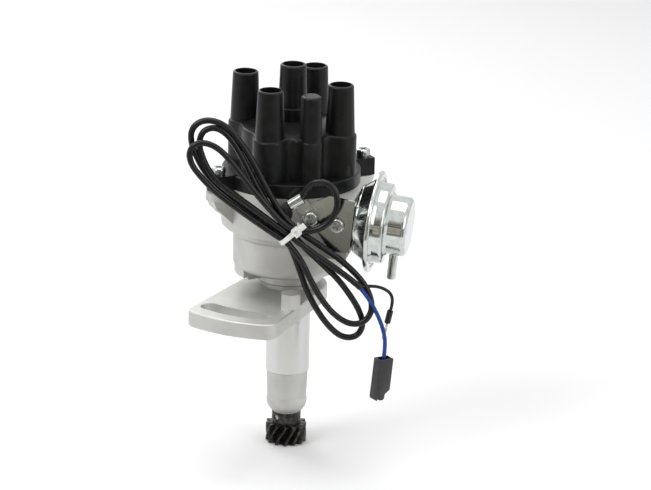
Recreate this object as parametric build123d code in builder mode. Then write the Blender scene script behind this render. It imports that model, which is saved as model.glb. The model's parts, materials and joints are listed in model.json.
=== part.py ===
from build123d import *
import os
from math import cos, degrees, hypot, pi, radians, sin, tan

# Ignition distributor for a four-cylinder engine, in millimetres.
# Origin: on the shaft axis at the underside of the mounting plate.  +Z runs up through the cap,
# +X runs the way the vacuum canister points.

os.makedirs("parts", exist_ok=True)

# ---------------------------------------------------------------- clearances
run_gap = 0.03          # radial, a shaft in its bush
slide_gap = 0.3         # pieces that move past each other
hole_gap = 0.35         # radial, a loose pin in its hole

# ---------------------------------------------------------------- shaft and shank
shaft_r = 6.0
spindle_r = 4.0
bush_wall = 2.0
bush_r = shaft_r + run_gap + bush_wall
core_r = 8.7                     # cored bore of the shank between the bushes
shank_r = 13.65                  # machined part that fits the engine block
shank_machined_length = 46.5
cast_r = 12.95                   # as-cast part below the machined one
cast_end_r = 12.3
cast_end_z = -64.0
shank_nose_r = 9.6
shank_bottom_z = -73.5
upper_bush_bottom_z = 4.0
upper_bush_top_z = 29.0
lower_bush_length = 21.0
bearing_boss_r = 12.0

# ---------------------------------------------------------------- mounting plate
plate_height = 10.0
plate_round_r = 26.2
plate_arm_azimuth = -104.0
plate_offset = 2.5               # round end's centre, square to the arm
plate_splay = 2.8                # each side of the arm widens by this angle
plate_reach = 85.5               # outer edge, an arc about the shaft
plate_corner_r = 8.0
plate_edge_r = 1.0
slot_r = 69.5
slot_width = 12.4
slot_azimuth = -107.2
slot_half_angle = 15.1           # to the centre of each round end
hex_boss_across_corners = 13.8
hex_boss_height = 9.2
hex_boss_at = (10.6, -47.6)
hex_boss_turn = -79.0

# ---------------------------------------------------------------- housing
neck_r = 20.9
neck_bottom_z = 13.4             # lower edge of the neck's collar
neck_waist_r = 17.4
neck_edge_r = 1.0
bowl_r = 35.4
bowl_bottom_z = 21.7
bowl_corner_r = 4.5
bowl_top_z = 43.5
band_r = 37.5
band_bottom_z = 45.7
band_top_z = 48.6
upper_r = 43.0
upper_edge_r = 2.4               # rounded lower edge of the upper section
shank_step = 0.6                 # height of the bevels of the shank
upper_bottom_z = 51.0
# inner radius, outer radius, bottom, first azimuth and span of each lug under the bowl
feeder_lugs = ((24.0, 34.4, 18.6, 196.0, 30.0), (20.0, 29.6, 16.0, 200.0, 22.0))
rim_z = 77.5
upper_wall = 3.5
bowl_wall = 3.4
bowl_floor_z = 26.5
ledge_z = 54.0                   # seat of the fixed base plate
ear_azimuths = (38.4, 218.4)
ear_top_z = 75.5
ear_thickness = 4.8
ear_r = 7.7
cap_screw_circle = upper_r + 7.3
ear_boss_depth = 19.0
cap_screw_hole_depth = 13.0
pad_front_y = 2.4 - upper_r      # machined face that carries the vacuum bracket
pad_left_x = 13.0
pad_bottom_z = 41.0
seal_outer_r = upper_r - 1.0
seal_inner_r = seal_outer_r - 1.6
seal_depth = 1.2

# ---------------------------------------------------------------- cap
cap_ring_top_z = 86.0
cap_shelf = 3.0
cap_wall_r = 31.5
cap_wall = 2.9
wall_corner_r = 2.6
cap_edge_r = 0.8
tower_circle = 32.4
tower_azimuths = (-13.7, 76.3, 166.3, 256.3)
post_azimuth = -58.7
column_r = 8.6
tower_foot_r = 10.2
roof_edge_z = 111.5
roof_top_z = 117.5
collar_r = 12.0
collar_top_z = 125.5
tower_top_z = 142.7
tower_tip_r = 8.0
tower_root_r = 9.0
centre_top_z = 151.5
tower_bore_r = 6.4
tower_bore_depth = 13.6          # where a plug lead's terminal enters
tower_seat_r = 5.5               # narrower below it, round the brass terminal
tower_seat_depth = 10.4
tower_lip = 1.2
post_top_z = 140.0
post_width = 12.8
post_outer_r = 40.0
post_inner_r = post_outer_r - 14.5
post_corner_r = 5.4
post_draft = 0.5                 # the wall's outline stays this far inside the post
post_edge_r = 1.6
lug_top_z = 86.5
lug_reach = upper_r + 12.3
lug_half_width = 6.3
screw_shank_r = 2.1
screw_hole_r = 2.7

# ---------------------------------------------------------------- electrodes, brush and rotor
rotor_tip_r = 24.8
spark_gap = 0.8
rotor_hub_r = 9.8
rotor_bottom_z = 67.0
rotor_arm_bottom_z = 88.0
rotor_arm_top_z = 96.4
contact_thickness = 1.6
contact_width = 8.0
brush_r = 2.45
brush_bore_r = 2.55
brush_gap = 0.2                  # brush tip to rotor contact, as drawn
brush_length = 12.0
brush_boss_r = 5.6
brush_boss_bottom_z = 102.5
brush_top_z = 120.0

# ---------------------------------------------------------------- advance mechanism
governor_z = 34.0
governor_thickness = 2.0
governor_r = 27.0
weight_thickness = 5.0
weight_pivot_r = 21.0
weight_pin_r = 2.4
drive_pin_circle = 11.0
drive_pin_r = 1.6
cam_plate_r = 15.0
cam_plate_thickness = 2.0
sleeve_r = 6.6
sleeve_top_z = 74.0
sleeve_bore_top_z = 69.0
reluctor_tip_r = 12.8
reluctor_root_r = 9.0
reluctor_bottom_z = 59.5
reluctor_height = 6.5
reluctor_arms = 4
base_plate_thickness = 2.0
base_plate_bore_r = 13.4
base_collar_r = 16.8
base_collar_height = 2.9
base_screw_circle = upper_r - upper_wall - 4.2
base_screw_azimuths = (25.0, 205.0)
advance_plate_thickness = 2.0
advance_plate_r = upper_r - 12.0
pickup_azimuth = 120.0
pickup_gap = 0.5

# ---------------------------------------------------------------- vacuum unit
vac_centre = (upper_r + 14.2, -21.5, 60.8)  # middle of the crimped flange
vac_droop = 5.0                   # degrees below the horizontal
vac_front_r = 25.0
vac_flange_r = vac_front_r + 6.2
vac_flange_thickness = 3.0
vac_back_r = vac_front_r + 2.4    # at the flange
vac_back_end_r = vac_back_r - 5.6 # at the bracket
vac_back_depth = 10.6
vac_front_depth = 8.6
vac_drum_r = 18.5
vac_drum_depth = 22.0
vac_step = 1.6                    # bevel at the drum's root, clear of the hose on the nipple
vac_wall = 1.2
vac_neck_r = 7.0
vac_neck_length = 5.0
nipple_r = 2.8
nipple_bore_r = 1.7
nipple_stem_r = 2.4               # the part seated in the drum
nipple_length = 16.2
nipple_shoulder = 0.3             # the full radius starts this far outside the drum
nipple_at = 14.0                  # along the canister from its flange
rod_r = 2.0
rod_pin_r = 1.4
rod_gap = 0.1                     # radial, the rod in the canister's neck
rod_stroke = 3.75
vac_corner_r = 2.0                # rounded corner of the back shell
bracket_thickness = 1.6
bracket_screws_xz = ((21.2, 66.6), (37.4, 63.2))
screw_head_r = 4.45
screw_head_height = 2.9
bracket_screw_length = 9.0

# ---------------------------------------------------------------- drive gear
gear_teeth = 13
gear_bottom_z = -94.3
gear_face = 12.1
gear_tip_r = 12.75
gear_pitch_r = 11.15
gear_root_r = 9.3
gear_helix = 29.0                 # degrees, left hand
gear_hub_r = 9.1
gear_hub_top_z = -74.3
gear_pin_r = 1.9
gear_pin_z = -77.6
gear_pin_azimuth = -123.7

# ---------------------------------------------------------------- leads
lead_r = 1.95
blue_r = 1.3
black_r = 1.05
grommet_azimuth = -84.0
grommet_z = 68.5
grommet_r = 3.6
grommet_flange_r = 5.2


def polar(radius, azimuth, z=0.0):
    """A point at a radius and an azimuth in degrees about the shaft."""
    return (radius * cos(radians(azimuth)), radius * sin(radians(azimuth)), z)


def save(builder, label):
    """Label a finished piece and write it as one STEP file."""
    builder.part.label = label
    export_step(builder.part, f"parts/{label}.step")


vac_axis = (cos(radians(vac_droop)), 0, -sin(radians(vac_droop)))
vac_plane = Plane(origin=vac_centre, x_dir=(0, 1, 0), z_dir=vac_axis)
# Turned sections about the canister's axis are drawn with x as the radius and y along the axis.
vac_section = Plane(origin=vac_centre, x_dir=(0, 1, 0), z_dir=vac_plane.x_dir.cross(Vector(*vac_axis)))
vac_line = Axis(vac_centre, vac_axis)
grommet_plane = Plane(origin=polar(upper_r, grommet_azimuth, grommet_z), z_dir=polar(1, grommet_azimuth))
bowl_inner_r = bowl_r - bowl_wall
upper_inner_r = upper_r - upper_wall


# ================================================================ fixed pieces
with BuildPart() as housing:
    # Turned outline: shank, neck, bowl and upper section
    with BuildSketch(Plane.XZ):
        with BuildLine():
            Polyline(
                (bush_r, shank_bottom_z),
                (shank_nose_r, shank_bottom_z),
            )
            nose = TangentArc((shank_nose_r, shank_bottom_z), (cast_end_r, cast_end_z), tangent=(1, 0.9))
            Polyline(
                (cast_end_r, cast_end_z),
                (cast_r, -shank_machined_length - shank_step),
                (shank_r, -shank_machined_length),
                (shank_r, plate_height / 2),
                (neck_waist_r, plate_height / 2),
                (neck_waist_r, neck_bottom_z),
                (neck_r - neck_edge_r, neck_bottom_z),
                (neck_r, neck_bottom_z + neck_edge_r),
                (neck_r, bowl_bottom_z),
                (bowl_r - bowl_corner_r, bowl_bottom_z),
            )
            RadiusArc(
                (bowl_r - bowl_corner_r, bowl_bottom_z),
                (bowl_r, bowl_bottom_z + bowl_corner_r),
                -bowl_corner_r,
            )
            Polyline(
                (bowl_r, bowl_bottom_z + bowl_corner_r),
                (bowl_r, bowl_top_z),
                (band_r, band_bottom_z),
                (band_r, band_top_z),
                (upper_r - upper_edge_r, band_top_z),
            )
            RadiusArc((upper_r - upper_edge_r, band_top_z), (upper_r, band_top_z + upper_edge_r), -upper_edge_r)
            Polyline(
                (upper_r, band_top_z + upper_edge_r),
                (upper_r, rim_z),
                (upper_inner_r, rim_z),
                (upper_inner_r, ledge_z),
                (bowl_inner_r, ledge_z),
                (bowl_inner_r, bowl_floor_z),
                (bearing_boss_r, bowl_floor_z),
                (bearing_boss_r, upper_bush_top_z),
                (bush_r, upper_bush_top_z),
                (bush_r, upper_bush_bottom_z),
                (core_r, upper_bush_bottom_z),
                (core_r, shank_bottom_z + lower_bush_length),
                (bush_r, shank_bottom_z + lower_bush_length),
                (bush_r, shank_bottom_z),
            )
        make_face()
    revolve(axis=Axis.Z)

    # Mounting plate: a round about the shank that runs out into an arm with an arc slot
    plate_centre = polar(plate_offset, plate_arm_azimuth - 90)
    arm_length = plate_reach + 10
    with BuildSketch(Plane.XY) as plate_outline:
        # The arm's sides leave the round along its tangents
        splay = radians(plate_splay)
        near = (-plate_round_r * sin(splay), plate_round_r * cos(splay))
        far = (arm_length, near[1] + (arm_length - near[0]) * tan(splay))
        with Locations(Location(plate_centre, plate_arm_azimuth)):
            Polygon((near[0], -near[1]), (far[0], -far[1]), far, near, align=None)
        Circle(plate_reach, mode=Mode.INTERSECT)
        far_corners = plate_outline.vertices().sort_by_distance((0, 0))[-2:]
        fillet(far_corners, plate_corner_r)
        with Locations(plate_centre):
            Circle(plate_round_r)
    extrude(amount=plate_height)
    plate_rims = (
        housing.edges()
        .filter_by(lambda e: min(abs(e.center().Z), abs(e.center().Z - plate_height)) < 0.01)
        .filter_by(lambda e: hypot(e.center().X, e.center().Y) > neck_waist_r + 1)
    )
    fillet(plate_rims, plate_edge_r)

    # Arc slot for the clamp bolt
    with BuildSketch(Plane.XY):
        SlotArc(CenterArc((0, 0), slot_r, slot_azimuth - slot_half_angle, 2 * slot_half_angle,
                          mode=Mode.PRIVATE), slot_width)
    extrude(amount=plate_height, mode=Mode.SUBTRACT)

    # Two stepped lugs under the bowl, left from its casting feeder
    for inner, outer, bottom, start, span in feeder_lugs:
        with BuildSketch(Plane.XY.offset(bottom)):
            Circle(outer)
            Circle(inner, mode=Mode.SUBTRACT)
            with BuildLine():
                Polyline((0, 0), polar(2 * outer, start)[:2], polar(2 * outer, start + span)[:2], close=True)
            make_face(mode=Mode.INTERSECT)
        extrude(amount=bowl_bottom_z + bowl_corner_r - bottom)

    # Hexagonal boss cast on the plate beside the neck
    with BuildSketch(Plane.XY.offset(plate_height)):
        with Locations(Location((*hex_boss_at, 0), hex_boss_turn)):
            RegularPolygon(hex_boss_across_corners / 2, 6)
    extrude(amount=hex_boss_height, taper=1.5)

    # Two ears for the cap screws, each on a boss that tapers back into the wall
    for azimuth in ear_azimuths:
        outwards = Plane(origin=(0, 0, 0), x_dir=polar(1, azimuth), z_dir=polar(1, azimuth - 90))
        with BuildSketch(Plane.XY.offset(ear_top_z - ear_thickness)):
            with Locations(polar(cap_screw_circle, azimuth)):
                Circle(ear_r)
            with Locations(Location(polar(cap_screw_circle / 2 + 16, azimuth), azimuth)):
                Rectangle(cap_screw_circle - 32, 2 * ear_r)
        extrude(amount=ear_thickness)
        with BuildSketch(outwards):
            with BuildLine():
                Polyline(
                    (upper_r - 2, ear_top_z),
                    (cap_screw_circle + ear_r - 2.2, ear_top_z - ear_thickness),
                    (cap_screw_circle + 3.5, ear_top_z - ear_thickness - 5),
                    (upper_r - 1, ear_top_z - ear_boss_depth - 2),
                    close=True,
                )
            make_face()
        extrude(amount=ear_r - 2.2, both=True)

    # Box-like pad for the vacuum unit, square to the canister at its end
    pad_end = vac_plane.offset(-vac_back_depth - bracket_thickness - slide_gap)
    with BuildSketch(Plane.XY.offset(pad_bottom_z)):
        with Locations((pad_left_x, pad_front_y)):
            Rectangle(60, 28, align=(Align.MIN, Align.MIN))
    extrude(amount=rim_z - pad_bottom_z)
    split(bisect_by=pad_end, keep=Keep.BOTTOM)

    # Bores for the bushes and the cored bore between them
    with Locations((0, 0, upper_bush_top_z)):
        Hole(bush_r, depth=upper_bush_top_z - shank_bottom_z)
    with BuildSketch(Plane.XY.offset(shank_bottom_z + lower_bush_length)):
        Circle(core_r)
    extrude(amount=upper_bush_bottom_z - shank_bottom_z - lower_bush_length, mode=Mode.SUBTRACT)
    # Threaded holes for the cap screws
    for azimuth in ear_azimuths:
        with Locations(polar(cap_screw_circle, azimuth, ear_top_z)):
            Hole(screw_shank_r, depth=cap_screw_hole_depth)

    # Cavity for the plates, reaching into the pad where the rod passes
    with BuildSketch(Plane.XY.offset(ledge_z)):
        Circle(upper_inner_r)
    extrude(amount=rim_z - ledge_z, mode=Mode.SUBTRACT)
    with BuildSketch(Plane.XY.offset(bowl_floor_z)):
        Circle(bowl_inner_r)
        Circle(bearing_boss_r, mode=Mode.SUBTRACT)
    extrude(amount=ledge_z - bowl_floor_z, mode=Mode.SUBTRACT)
    with BuildSketch(pad_end):
        Circle(vac_neck_r + slide_gap)
    extrude(amount=-24, mode=Mode.SUBTRACT)

    # Threaded holes in the pad's face, and the hole for the lead's grommet
    for x, z in bracket_screws_xz:
        with BuildSketch(Plane(origin=(x, pad_front_y, z), z_dir=(0, -1, 0))):
            Circle(screw_shank_r)
        extrude(amount=-bracket_screw_length + bracket_thickness, mode=Mode.SUBTRACT)
    with BuildSketch(grommet_plane):
        Circle(grommet_r)
    extrude(amount=upper_wall + 4, both=True, mode=Mode.SUBTRACT)

    # Seal groove in the rim
    with BuildSketch(Plane.XY.offset(rim_z)):
        Circle(seal_outer_r)
        Circle(seal_inner_r, mode=Mode.SUBTRACT)
    extrude(amount=-seal_depth, mode=Mode.SUBTRACT)
save(housing, "housing")

with BuildPart() as upper_bush:
    with BuildSketch(Plane.XY.offset(upper_bush_bottom_z)):
        Circle(bush_r)
        Circle(shaft_r + run_gap, mode=Mode.SUBTRACT)
    extrude(amount=upper_bush_top_z - upper_bush_bottom_z)
save(upper_bush, "upper_bush")

with BuildPart() as lower_bush:
    with BuildSketch(Plane.XY.offset(shank_bottom_z)):
        Circle(bush_r)
        Circle(shaft_r + run_gap, mode=Mode.SUBTRACT)
    extrude(amount=lower_bush_length)
save(lower_bush, "lower_bush")

with BuildPart() as cap_seal:
    with BuildSketch(Plane.XY.offset(rim_z - seal_depth)):
        Circle(seal_outer_r)
        Circle(seal_inner_r, mode=Mode.SUBTRACT)
    extrude(amount=seal_depth)
save(cap_seal, "cap_seal")


# ---------------------------------------------------------------- cap
terminal_stem_r = 2.6
terminal_cup_r = 4.4
terminal_cup_height = 10.0       # stays below the open part of the socket
electrode_inner_r = rotor_tip_r + spark_gap
electrode_bottom_z = rotor_arm_top_z - 3.4
electrode_top_z = rotor_arm_top_z + contact_thickness + 3.0
cavity_r = cap_wall_r - cap_wall
cavity_roof_z = roof_edge_z - 4.5
tower_floor_z = tower_top_z - tower_bore_depth - tower_seat_depth
centre_floor_z = centre_top_z - tower_bore_depth - tower_seat_depth

with BuildPart() as cap:
    # Wall with the four columns and the post, their inner corners rounded
    with BuildSketch(Plane.XY.offset(cap_ring_top_z)) as wall_outline:
        Circle(cap_wall_r)
        for azimuth in tower_azimuths:
            with Locations(polar(tower_circle, azimuth)):
                Circle(column_r)
        post_root_r = post_outer_r - post_draft
        with Locations(Location(polar((collar_r + post_root_r) / 2, post_azimuth), post_azimuth)):
            RectangleRounded(post_root_r - collar_r, post_width - 2 * post_draft, post_corner_r - post_draft)
        inner_corners = wall_outline.vertices().filter_by(
            lambda v: abs(hypot(v.X, v.Y) - cap_wall_r) < 0.1
        )
        fillet(inner_corners, wall_corner_r)
    extrude(amount=roof_top_z - cap_ring_top_z)
    # Roof: a low cone whose edge is rounded over the panels
    with BuildSketch(Plane.XZ):
        with BuildLine():
            Line((0, roof_top_z), (collar_r, roof_top_z))
            Line((collar_r, roof_top_z), (cap_wall_r - 6.0, roof_edge_z + 1.6))
            RadiusArc((cap_wall_r - 6.0, roof_edge_z + 1.6), (cap_wall_r + 1.4, roof_edge_z - 7.0), -9.0)
            Polyline(
                (cap_wall_r + 1.4, roof_edge_z - 7.0),
                (upper_r, cap_ring_top_z + 10.0),
                (upper_r + 2, cap_ring_top_z + 10.0),
                (upper_r + 2, cap_ring_top_z - cap_shelf),
                (0, cap_ring_top_z - cap_shelf),
                (0, roof_top_z),
            )
        make_face()
    revolve(axis=Axis.Z, mode=Mode.INTERSECT)

    # Base ring with its shelf, and the collar under the centre tower, each with a rounded edge
    for radius, bottom, top in ((upper_r, rim_z, cap_ring_top_z), (collar_r, roof_top_z - 2, collar_top_z)):
        with BuildSketch(Plane.XZ):
            with BuildLine():
                Polyline((0, bottom), (radius, bottom), (radius, top - cap_edge_r))
                RadiusArc((radius, top - cap_edge_r), (radius - cap_edge_r, top), -cap_edge_r)
                Polyline((radius - cap_edge_r, top), (0, top), (0, bottom))
            make_face()
        revolve(axis=Axis.Z)

    # Towers: columns that taper up to a rounded lip
    towers = [(polar(tower_circle, azimuth), tower_foot_r, cap_ring_top_z - 1, tower_tip_r, tower_top_z)
              for azimuth in tower_azimuths]
    towers.append(((0, 0, 0), tower_root_r, collar_top_z - 2, tower_tip_r + 0.2, centre_top_z))
    for place, root_r, root_z, tip_r, top_z in towers:
        with BuildSketch(Plane(origin=place, x_dir=(1, 0, 0), z_dir=(0, -1, 0))):
            with BuildLine():
                Polyline((0, root_z), (root_r, root_z), (tip_r, top_z - tower_lip))
                RadiusArc((tip_r, top_z - tower_lip), (tip_r - tower_lip, top_z), -tower_lip)
                Polyline((tip_r - tower_lip, top_z), (0, top_z), (0, root_z))
            make_face()
        revolve(axis=Axis(place, (0, 0, 1)))

    # Solid post between two of the towers
    with BuildSketch(Plane.XY.offset(cap_ring_top_z)):
        with Locations(Location(polar((post_inner_r + post_outer_r) / 2, post_azimuth), post_azimuth)):
            RectangleRounded(post_outer_r - post_inner_r, post_width, post_corner_r)
    extrude(amount=post_top_z - cap_ring_top_z, taper=0.6)
    fillet(cap.faces().filter_by(Axis.Z).filter_by(
        lambda f: abs(f.center().Z - post_top_z) < 0.01).edges(), post_edge_r)

    # Lugs for the cap screws
    for azimuth in ear_azimuths:
        with BuildSketch(Plane.XY.offset(ear_top_z)):
            with Locations(Location(polar((upper_r - 2 + lug_reach) / 2, azimuth), azimuth)):
                Rectangle(lug_reach - upper_r + 2, 2 * lug_half_width)
            Circle(upper_r + run_gap, mode=Mode.SUBTRACT)
        extrude(amount=rim_z - ear_top_z)
        with BuildSketch(Plane.XY.offset(rim_z)):
            with Locations(Location(polar((upper_r - 3 + lug_reach) / 2, azimuth), azimuth)):
                Rectangle(lug_reach - upper_r + 3, 2 * lug_half_width)
        extrude(amount=lug_top_z - rim_z)

    # Hollow inside
    with BuildSketch(Plane.XZ):
        with BuildLine():
            Polyline(
                (0, rim_z),
                (upper_inner_r, rim_z),
                (upper_inner_r, cap_ring_top_z - cap_shelf),
                (cavity_r, cap_ring_top_z - cap_shelf),
                (cavity_r - 0.6, cavity_roof_z - 4),
                (cavity_r - 4.0, cavity_roof_z),
                (collar_r - 2, cavity_roof_z + 3.0),
                (0, cavity_roof_z + 3.0),
                close=True,
            )
        make_face()
    revolve(axis=Axis.Z, mode=Mode.SUBTRACT)
    with BuildSketch(Plane.XY.offset(brush_boss_bottom_z)):
        Circle(brush_boss_r)
    extrude(amount=cavity_roof_z + 4 - brush_boss_bottom_z)

    # Bores: tower sockets, terminal seats, brush guide and screw holes
    for azimuth in tower_azimuths:
        with Locations(polar(tower_circle, azimuth, tower_top_z)):
            Hole(tower_bore_r, depth=tower_bore_depth)
            Hole(tower_seat_r, depth=tower_bore_depth + tower_seat_depth)
        with Locations(polar(tower_circle, azimuth, tower_floor_z)):
            Hole(terminal_stem_r, depth=tower_floor_z - electrode_bottom_z)
        with BuildSketch(Plane.XY.offset(electrode_bottom_z)):
            with Locations(Location(polar(tower_circle - 3.5, azimuth), azimuth)):
                Rectangle(7.0 + terminal_stem_r, 2 * terminal_stem_r)
        extrude(amount=electrode_top_z - electrode_bottom_z, mode=Mode.SUBTRACT)
    with Locations((0, 0, centre_top_z)):
        Hole(tower_bore_r, depth=tower_bore_depth)
        Hole(tower_seat_r, depth=tower_bore_depth + tower_seat_depth)
    with Locations((0, 0, centre_floor_z)):
        Hole(brush_bore_r, depth=centre_floor_z - brush_boss_bottom_z)
    for azimuth in ear_azimuths:
        with Locations(polar(cap_screw_circle, azimuth, lug_top_z)):
            Hole(screw_hole_r, depth=lug_top_z - ear_top_z)
save(cap, "cap")

with BuildPart() as outer_terminals:
    # Cup at the bottom of each tower, a stem through the moulding and an electrode in the cavity
    for azimuth in tower_azimuths:
        with BuildSketch(Plane.XY.offset(electrode_top_z)):
            with Locations(polar(tower_circle, azimuth)):
                Circle(terminal_stem_r)
        extrude(amount=tower_floor_z - electrode_top_z)
        with BuildSketch(Plane.XY.offset(tower_floor_z)):
            with Locations(polar(tower_circle, azimuth)):
                Circle(terminal_cup_r)
        extrude(amount=terminal_cup_height)
        with Locations(polar(tower_circle, azimuth, tower_floor_z + terminal_cup_height)):
            Hole(terminal_cup_r - 1.0, depth=terminal_cup_height - 1.5)
        with BuildSketch(Plane.XY.offset(electrode_bottom_z)):
            with Locations(Location(polar((electrode_inner_r + tower_circle) / 2, azimuth), azimuth)):
                Rectangle(tower_circle - electrode_inner_r, 2 * terminal_stem_r)
            with Locations(polar(tower_circle, azimuth)):
                Circle(terminal_stem_r)
            Circle(electrode_inner_r, mode=Mode.SUBTRACT)
        extrude(amount=electrode_top_z - electrode_bottom_z)
save(outer_terminals, "outer_terminals")

with BuildPart() as centre_terminal:
    with BuildSketch(Plane.XY.offset(brush_top_z)):
        Circle(brush_bore_r)
    extrude(amount=centre_floor_z - brush_top_z)
    with BuildSketch(Plane.XY.offset(centre_floor_z)):
        Circle(terminal_cup_r)
    extrude(amount=terminal_cup_height)
    with Locations((0, 0, centre_floor_z + terminal_cup_height)):
        Hole(terminal_cup_r - 1.0, depth=terminal_cup_height - 1.5)
save(centre_terminal, "centre_terminal")

rotor_contact_top_z = rotor_arm_top_z + contact_thickness
brush_bottom_z = rotor_contact_top_z + brush_gap

with BuildPart() as carbon_brush:
    with BuildSketch(Plane.XY.offset(brush_bottom_z)):
        Circle(brush_r)
    extrude(amount=brush_length)
    fillet(carbon_brush.faces().sort_by(Axis.Z)[0].edges(), 0.8)
save(carbon_brush, "carbon_brush")


def coil(plane, radius, wire_r, length, turns):
    """A coil spring that stands on a plane, its ends inside the length."""
    with BuildPart() as spring:
        with BuildLine() as path:
            Helix(pitch=(length - 2 * wire_r) / turns, height=length - 2 * wire_r, radius=radius)
        with BuildSketch(Plane(origin=path.line @ 0, z_dir=path.line % 0)):
            RegularPolygon(wire_r, 6)
        sweep(is_frenet=True)
    return plane.offset(wire_r).location * spring.part


with BuildPart() as brush_spring:
    add(coil(Plane.XY.offset(brush_bottom_z + brush_length), brush_r - 0.55, 0.3,
             brush_top_z - brush_bottom_z - brush_length, 6))
save(brush_spring, "brush_spring")


# ---------------------------------------------------------------- screws
def pan_screw(plane, shank_r, shank_length, head_r, head_height):
    """A cross-recessed pan-head screw whose head sits on a plane."""
    with BuildPart(plane) as screw:
        with BuildSketch(plane):
            Circle(head_r)
        extrude(amount=head_height)
        fillet(screw.edges().group_by(Axis(plane.origin, plane.z_dir))[-1], head_height * 0.45)
        with BuildSketch(plane.offset(head_height)):
            Rectangle(head_r * 1.1, head_r * 0.24)
            Rectangle(head_r * 0.24, head_r * 1.1)
        extrude(amount=-head_height * 0.55, mode=Mode.SUBTRACT)
        with BuildSketch(plane):
            Circle(shank_r)
        extrude(amount=-shank_length)
    return screw.part


spring_washer_height = 1.2
cap_screw_length = 22.0
with BuildPart() as cap_screws:
    for azimuth in ear_azimuths:
        seat = Plane(origin=polar(cap_screw_circle, azimuth, lug_top_z + spring_washer_height),
                     x_dir=polar(1, azimuth + 20), z_dir=(0, 0, 1))
        add(pan_screw(seat, screw_shank_r, cap_screw_length, screw_head_r, screw_head_height + 0.7))
save(cap_screws, "cap_screws")

with BuildPart() as cap_washers:
    for azimuth in ear_azimuths:
        with BuildSketch(Plane.XY.offset(lug_top_z)):
            with Locations(polar(cap_screw_circle, azimuth)):
                Circle(screw_head_r - 0.4)
                Circle(screw_shank_r, mode=Mode.SUBTRACT)
            with Locations(Location(polar(cap_screw_circle - screw_head_r, azimuth), azimuth + 25)):
                Rectangle(screw_head_r, 0.8, mode=Mode.SUBTRACT)
        extrude(amount=spring_washer_height)
save(cap_washers, "cap_washers")


# ================================================================ shaft and governor
spindle_top_z = sleeve_bore_top_z
governor_top_z = governor_z + governor_thickness
weight_bottom_z = governor_top_z + 0.4
weight_top_z = weight_bottom_z + weight_thickness
cam_plate_z = weight_top_z + 0.6
cam_plate_top_z = cam_plate_z + cam_plate_thickness
washer_top_z = upper_bush_top_z + 1.0
sleeve_bottom_z = governor_top_z + slide_gap

with BuildPart() as drive_shaft:
    with BuildSketch(Plane.XY.offset(gear_bottom_z - 0.5)):
        Circle(shaft_r)
    extrude(amount=governor_top_z - gear_bottom_z + 0.5)
    chamfer(drive_shaft.edges().sort_by(Axis.Z)[0], 0.6)
    with BuildSketch(Plane.XY.offset(governor_top_z)):
        Circle(spindle_r)
    extrude(amount=spindle_top_z - governor_top_z)
    with Locations((0, 0, spindle_top_z)):
        Hole(1.6, depth=12)
    cross = Plane(origin=polar(0, 0, gear_pin_z), z_dir=polar(1, gear_pin_azimuth))
    with BuildSketch(cross):
        Circle(gear_pin_r)
    extrude(amount=gear_hub_r, both=True, mode=Mode.SUBTRACT)
save(drive_shaft, "drive_shaft")

with BuildPart() as drive_gear:
    with BuildSketch(Plane.XY.offset(gear_bottom_z)):
        Circle(gear_root_r)
    extrude(amount=gear_face)
    # One tooth as a ruled loft through turned sections, then copied round
    twist = degrees(tan(radians(gear_helix)) * gear_face / gear_pitch_r)
    sections = 4
    pitch_half = 1.35
    with BuildPart(mode=Mode.PRIVATE) as tooth:
        for step in range(sections + 1):
            level = Plane(origin=(0, 0, gear_bottom_z + gear_face * step / sections),
                          x_dir=polar(1, twist * step / sections), z_dir=(0, 0, 1))
            with BuildSketch(level):
                with BuildLine():
                    Polyline(
                        (gear_root_r - 0.7, -pitch_half * 1.75),
                        (gear_pitch_r, -pitch_half),
                        (gear_tip_r, -pitch_half * 0.45),
                        (gear_tip_r, pitch_half * 0.45),
                        (gear_pitch_r, pitch_half),
                        (gear_root_r - 0.7, pitch_half * 1.75),
                        close=True,
                    )
                make_face()
        loft(ruled=True)
    with PolarLocations(0, gear_teeth):
        add(tooth.part)
    with BuildSketch(Plane.XY.offset(gear_bottom_z + gear_face)):
        Circle(gear_hub_r)
    extrude(amount=gear_hub_top_z - gear_bottom_z - gear_face)
    with Locations((0, 0, gear_hub_top_z)):
        Hole(shaft_r, depth=gear_hub_top_z - gear_bottom_z)
    with BuildSketch(cross):
        Circle(gear_pin_r)
    extrude(amount=gear_hub_r + 1, both=True, mode=Mode.SUBTRACT)
save(drive_gear, "drive_gear")

with BuildPart() as gear_pin:
    with BuildSketch(cross):
        Circle(gear_pin_r)
    extrude(amount=gear_hub_r - 0.8, both=True)
save(gear_pin, "gear_pin")

with BuildPart() as thrust_washer:
    with BuildSketch(Plane.XY.offset(gear_hub_top_z)):
        Circle(gear_hub_r - 0.2)
        Circle(shaft_r, mode=Mode.SUBTRACT)
    extrude(amount=shank_bottom_z - gear_hub_top_z - 0.1)
save(thrust_washer, "thrust_washer")

with BuildPart() as governor_washer:
    with BuildSketch(Plane.XY.offset(upper_bush_top_z)):
        Circle(bearing_boss_r - 1)
        Circle(shaft_r + run_gap, mode=Mode.SUBTRACT)
    extrude(amount=washer_top_z - upper_bush_top_z)
save(governor_washer, "governor_washer")

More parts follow.
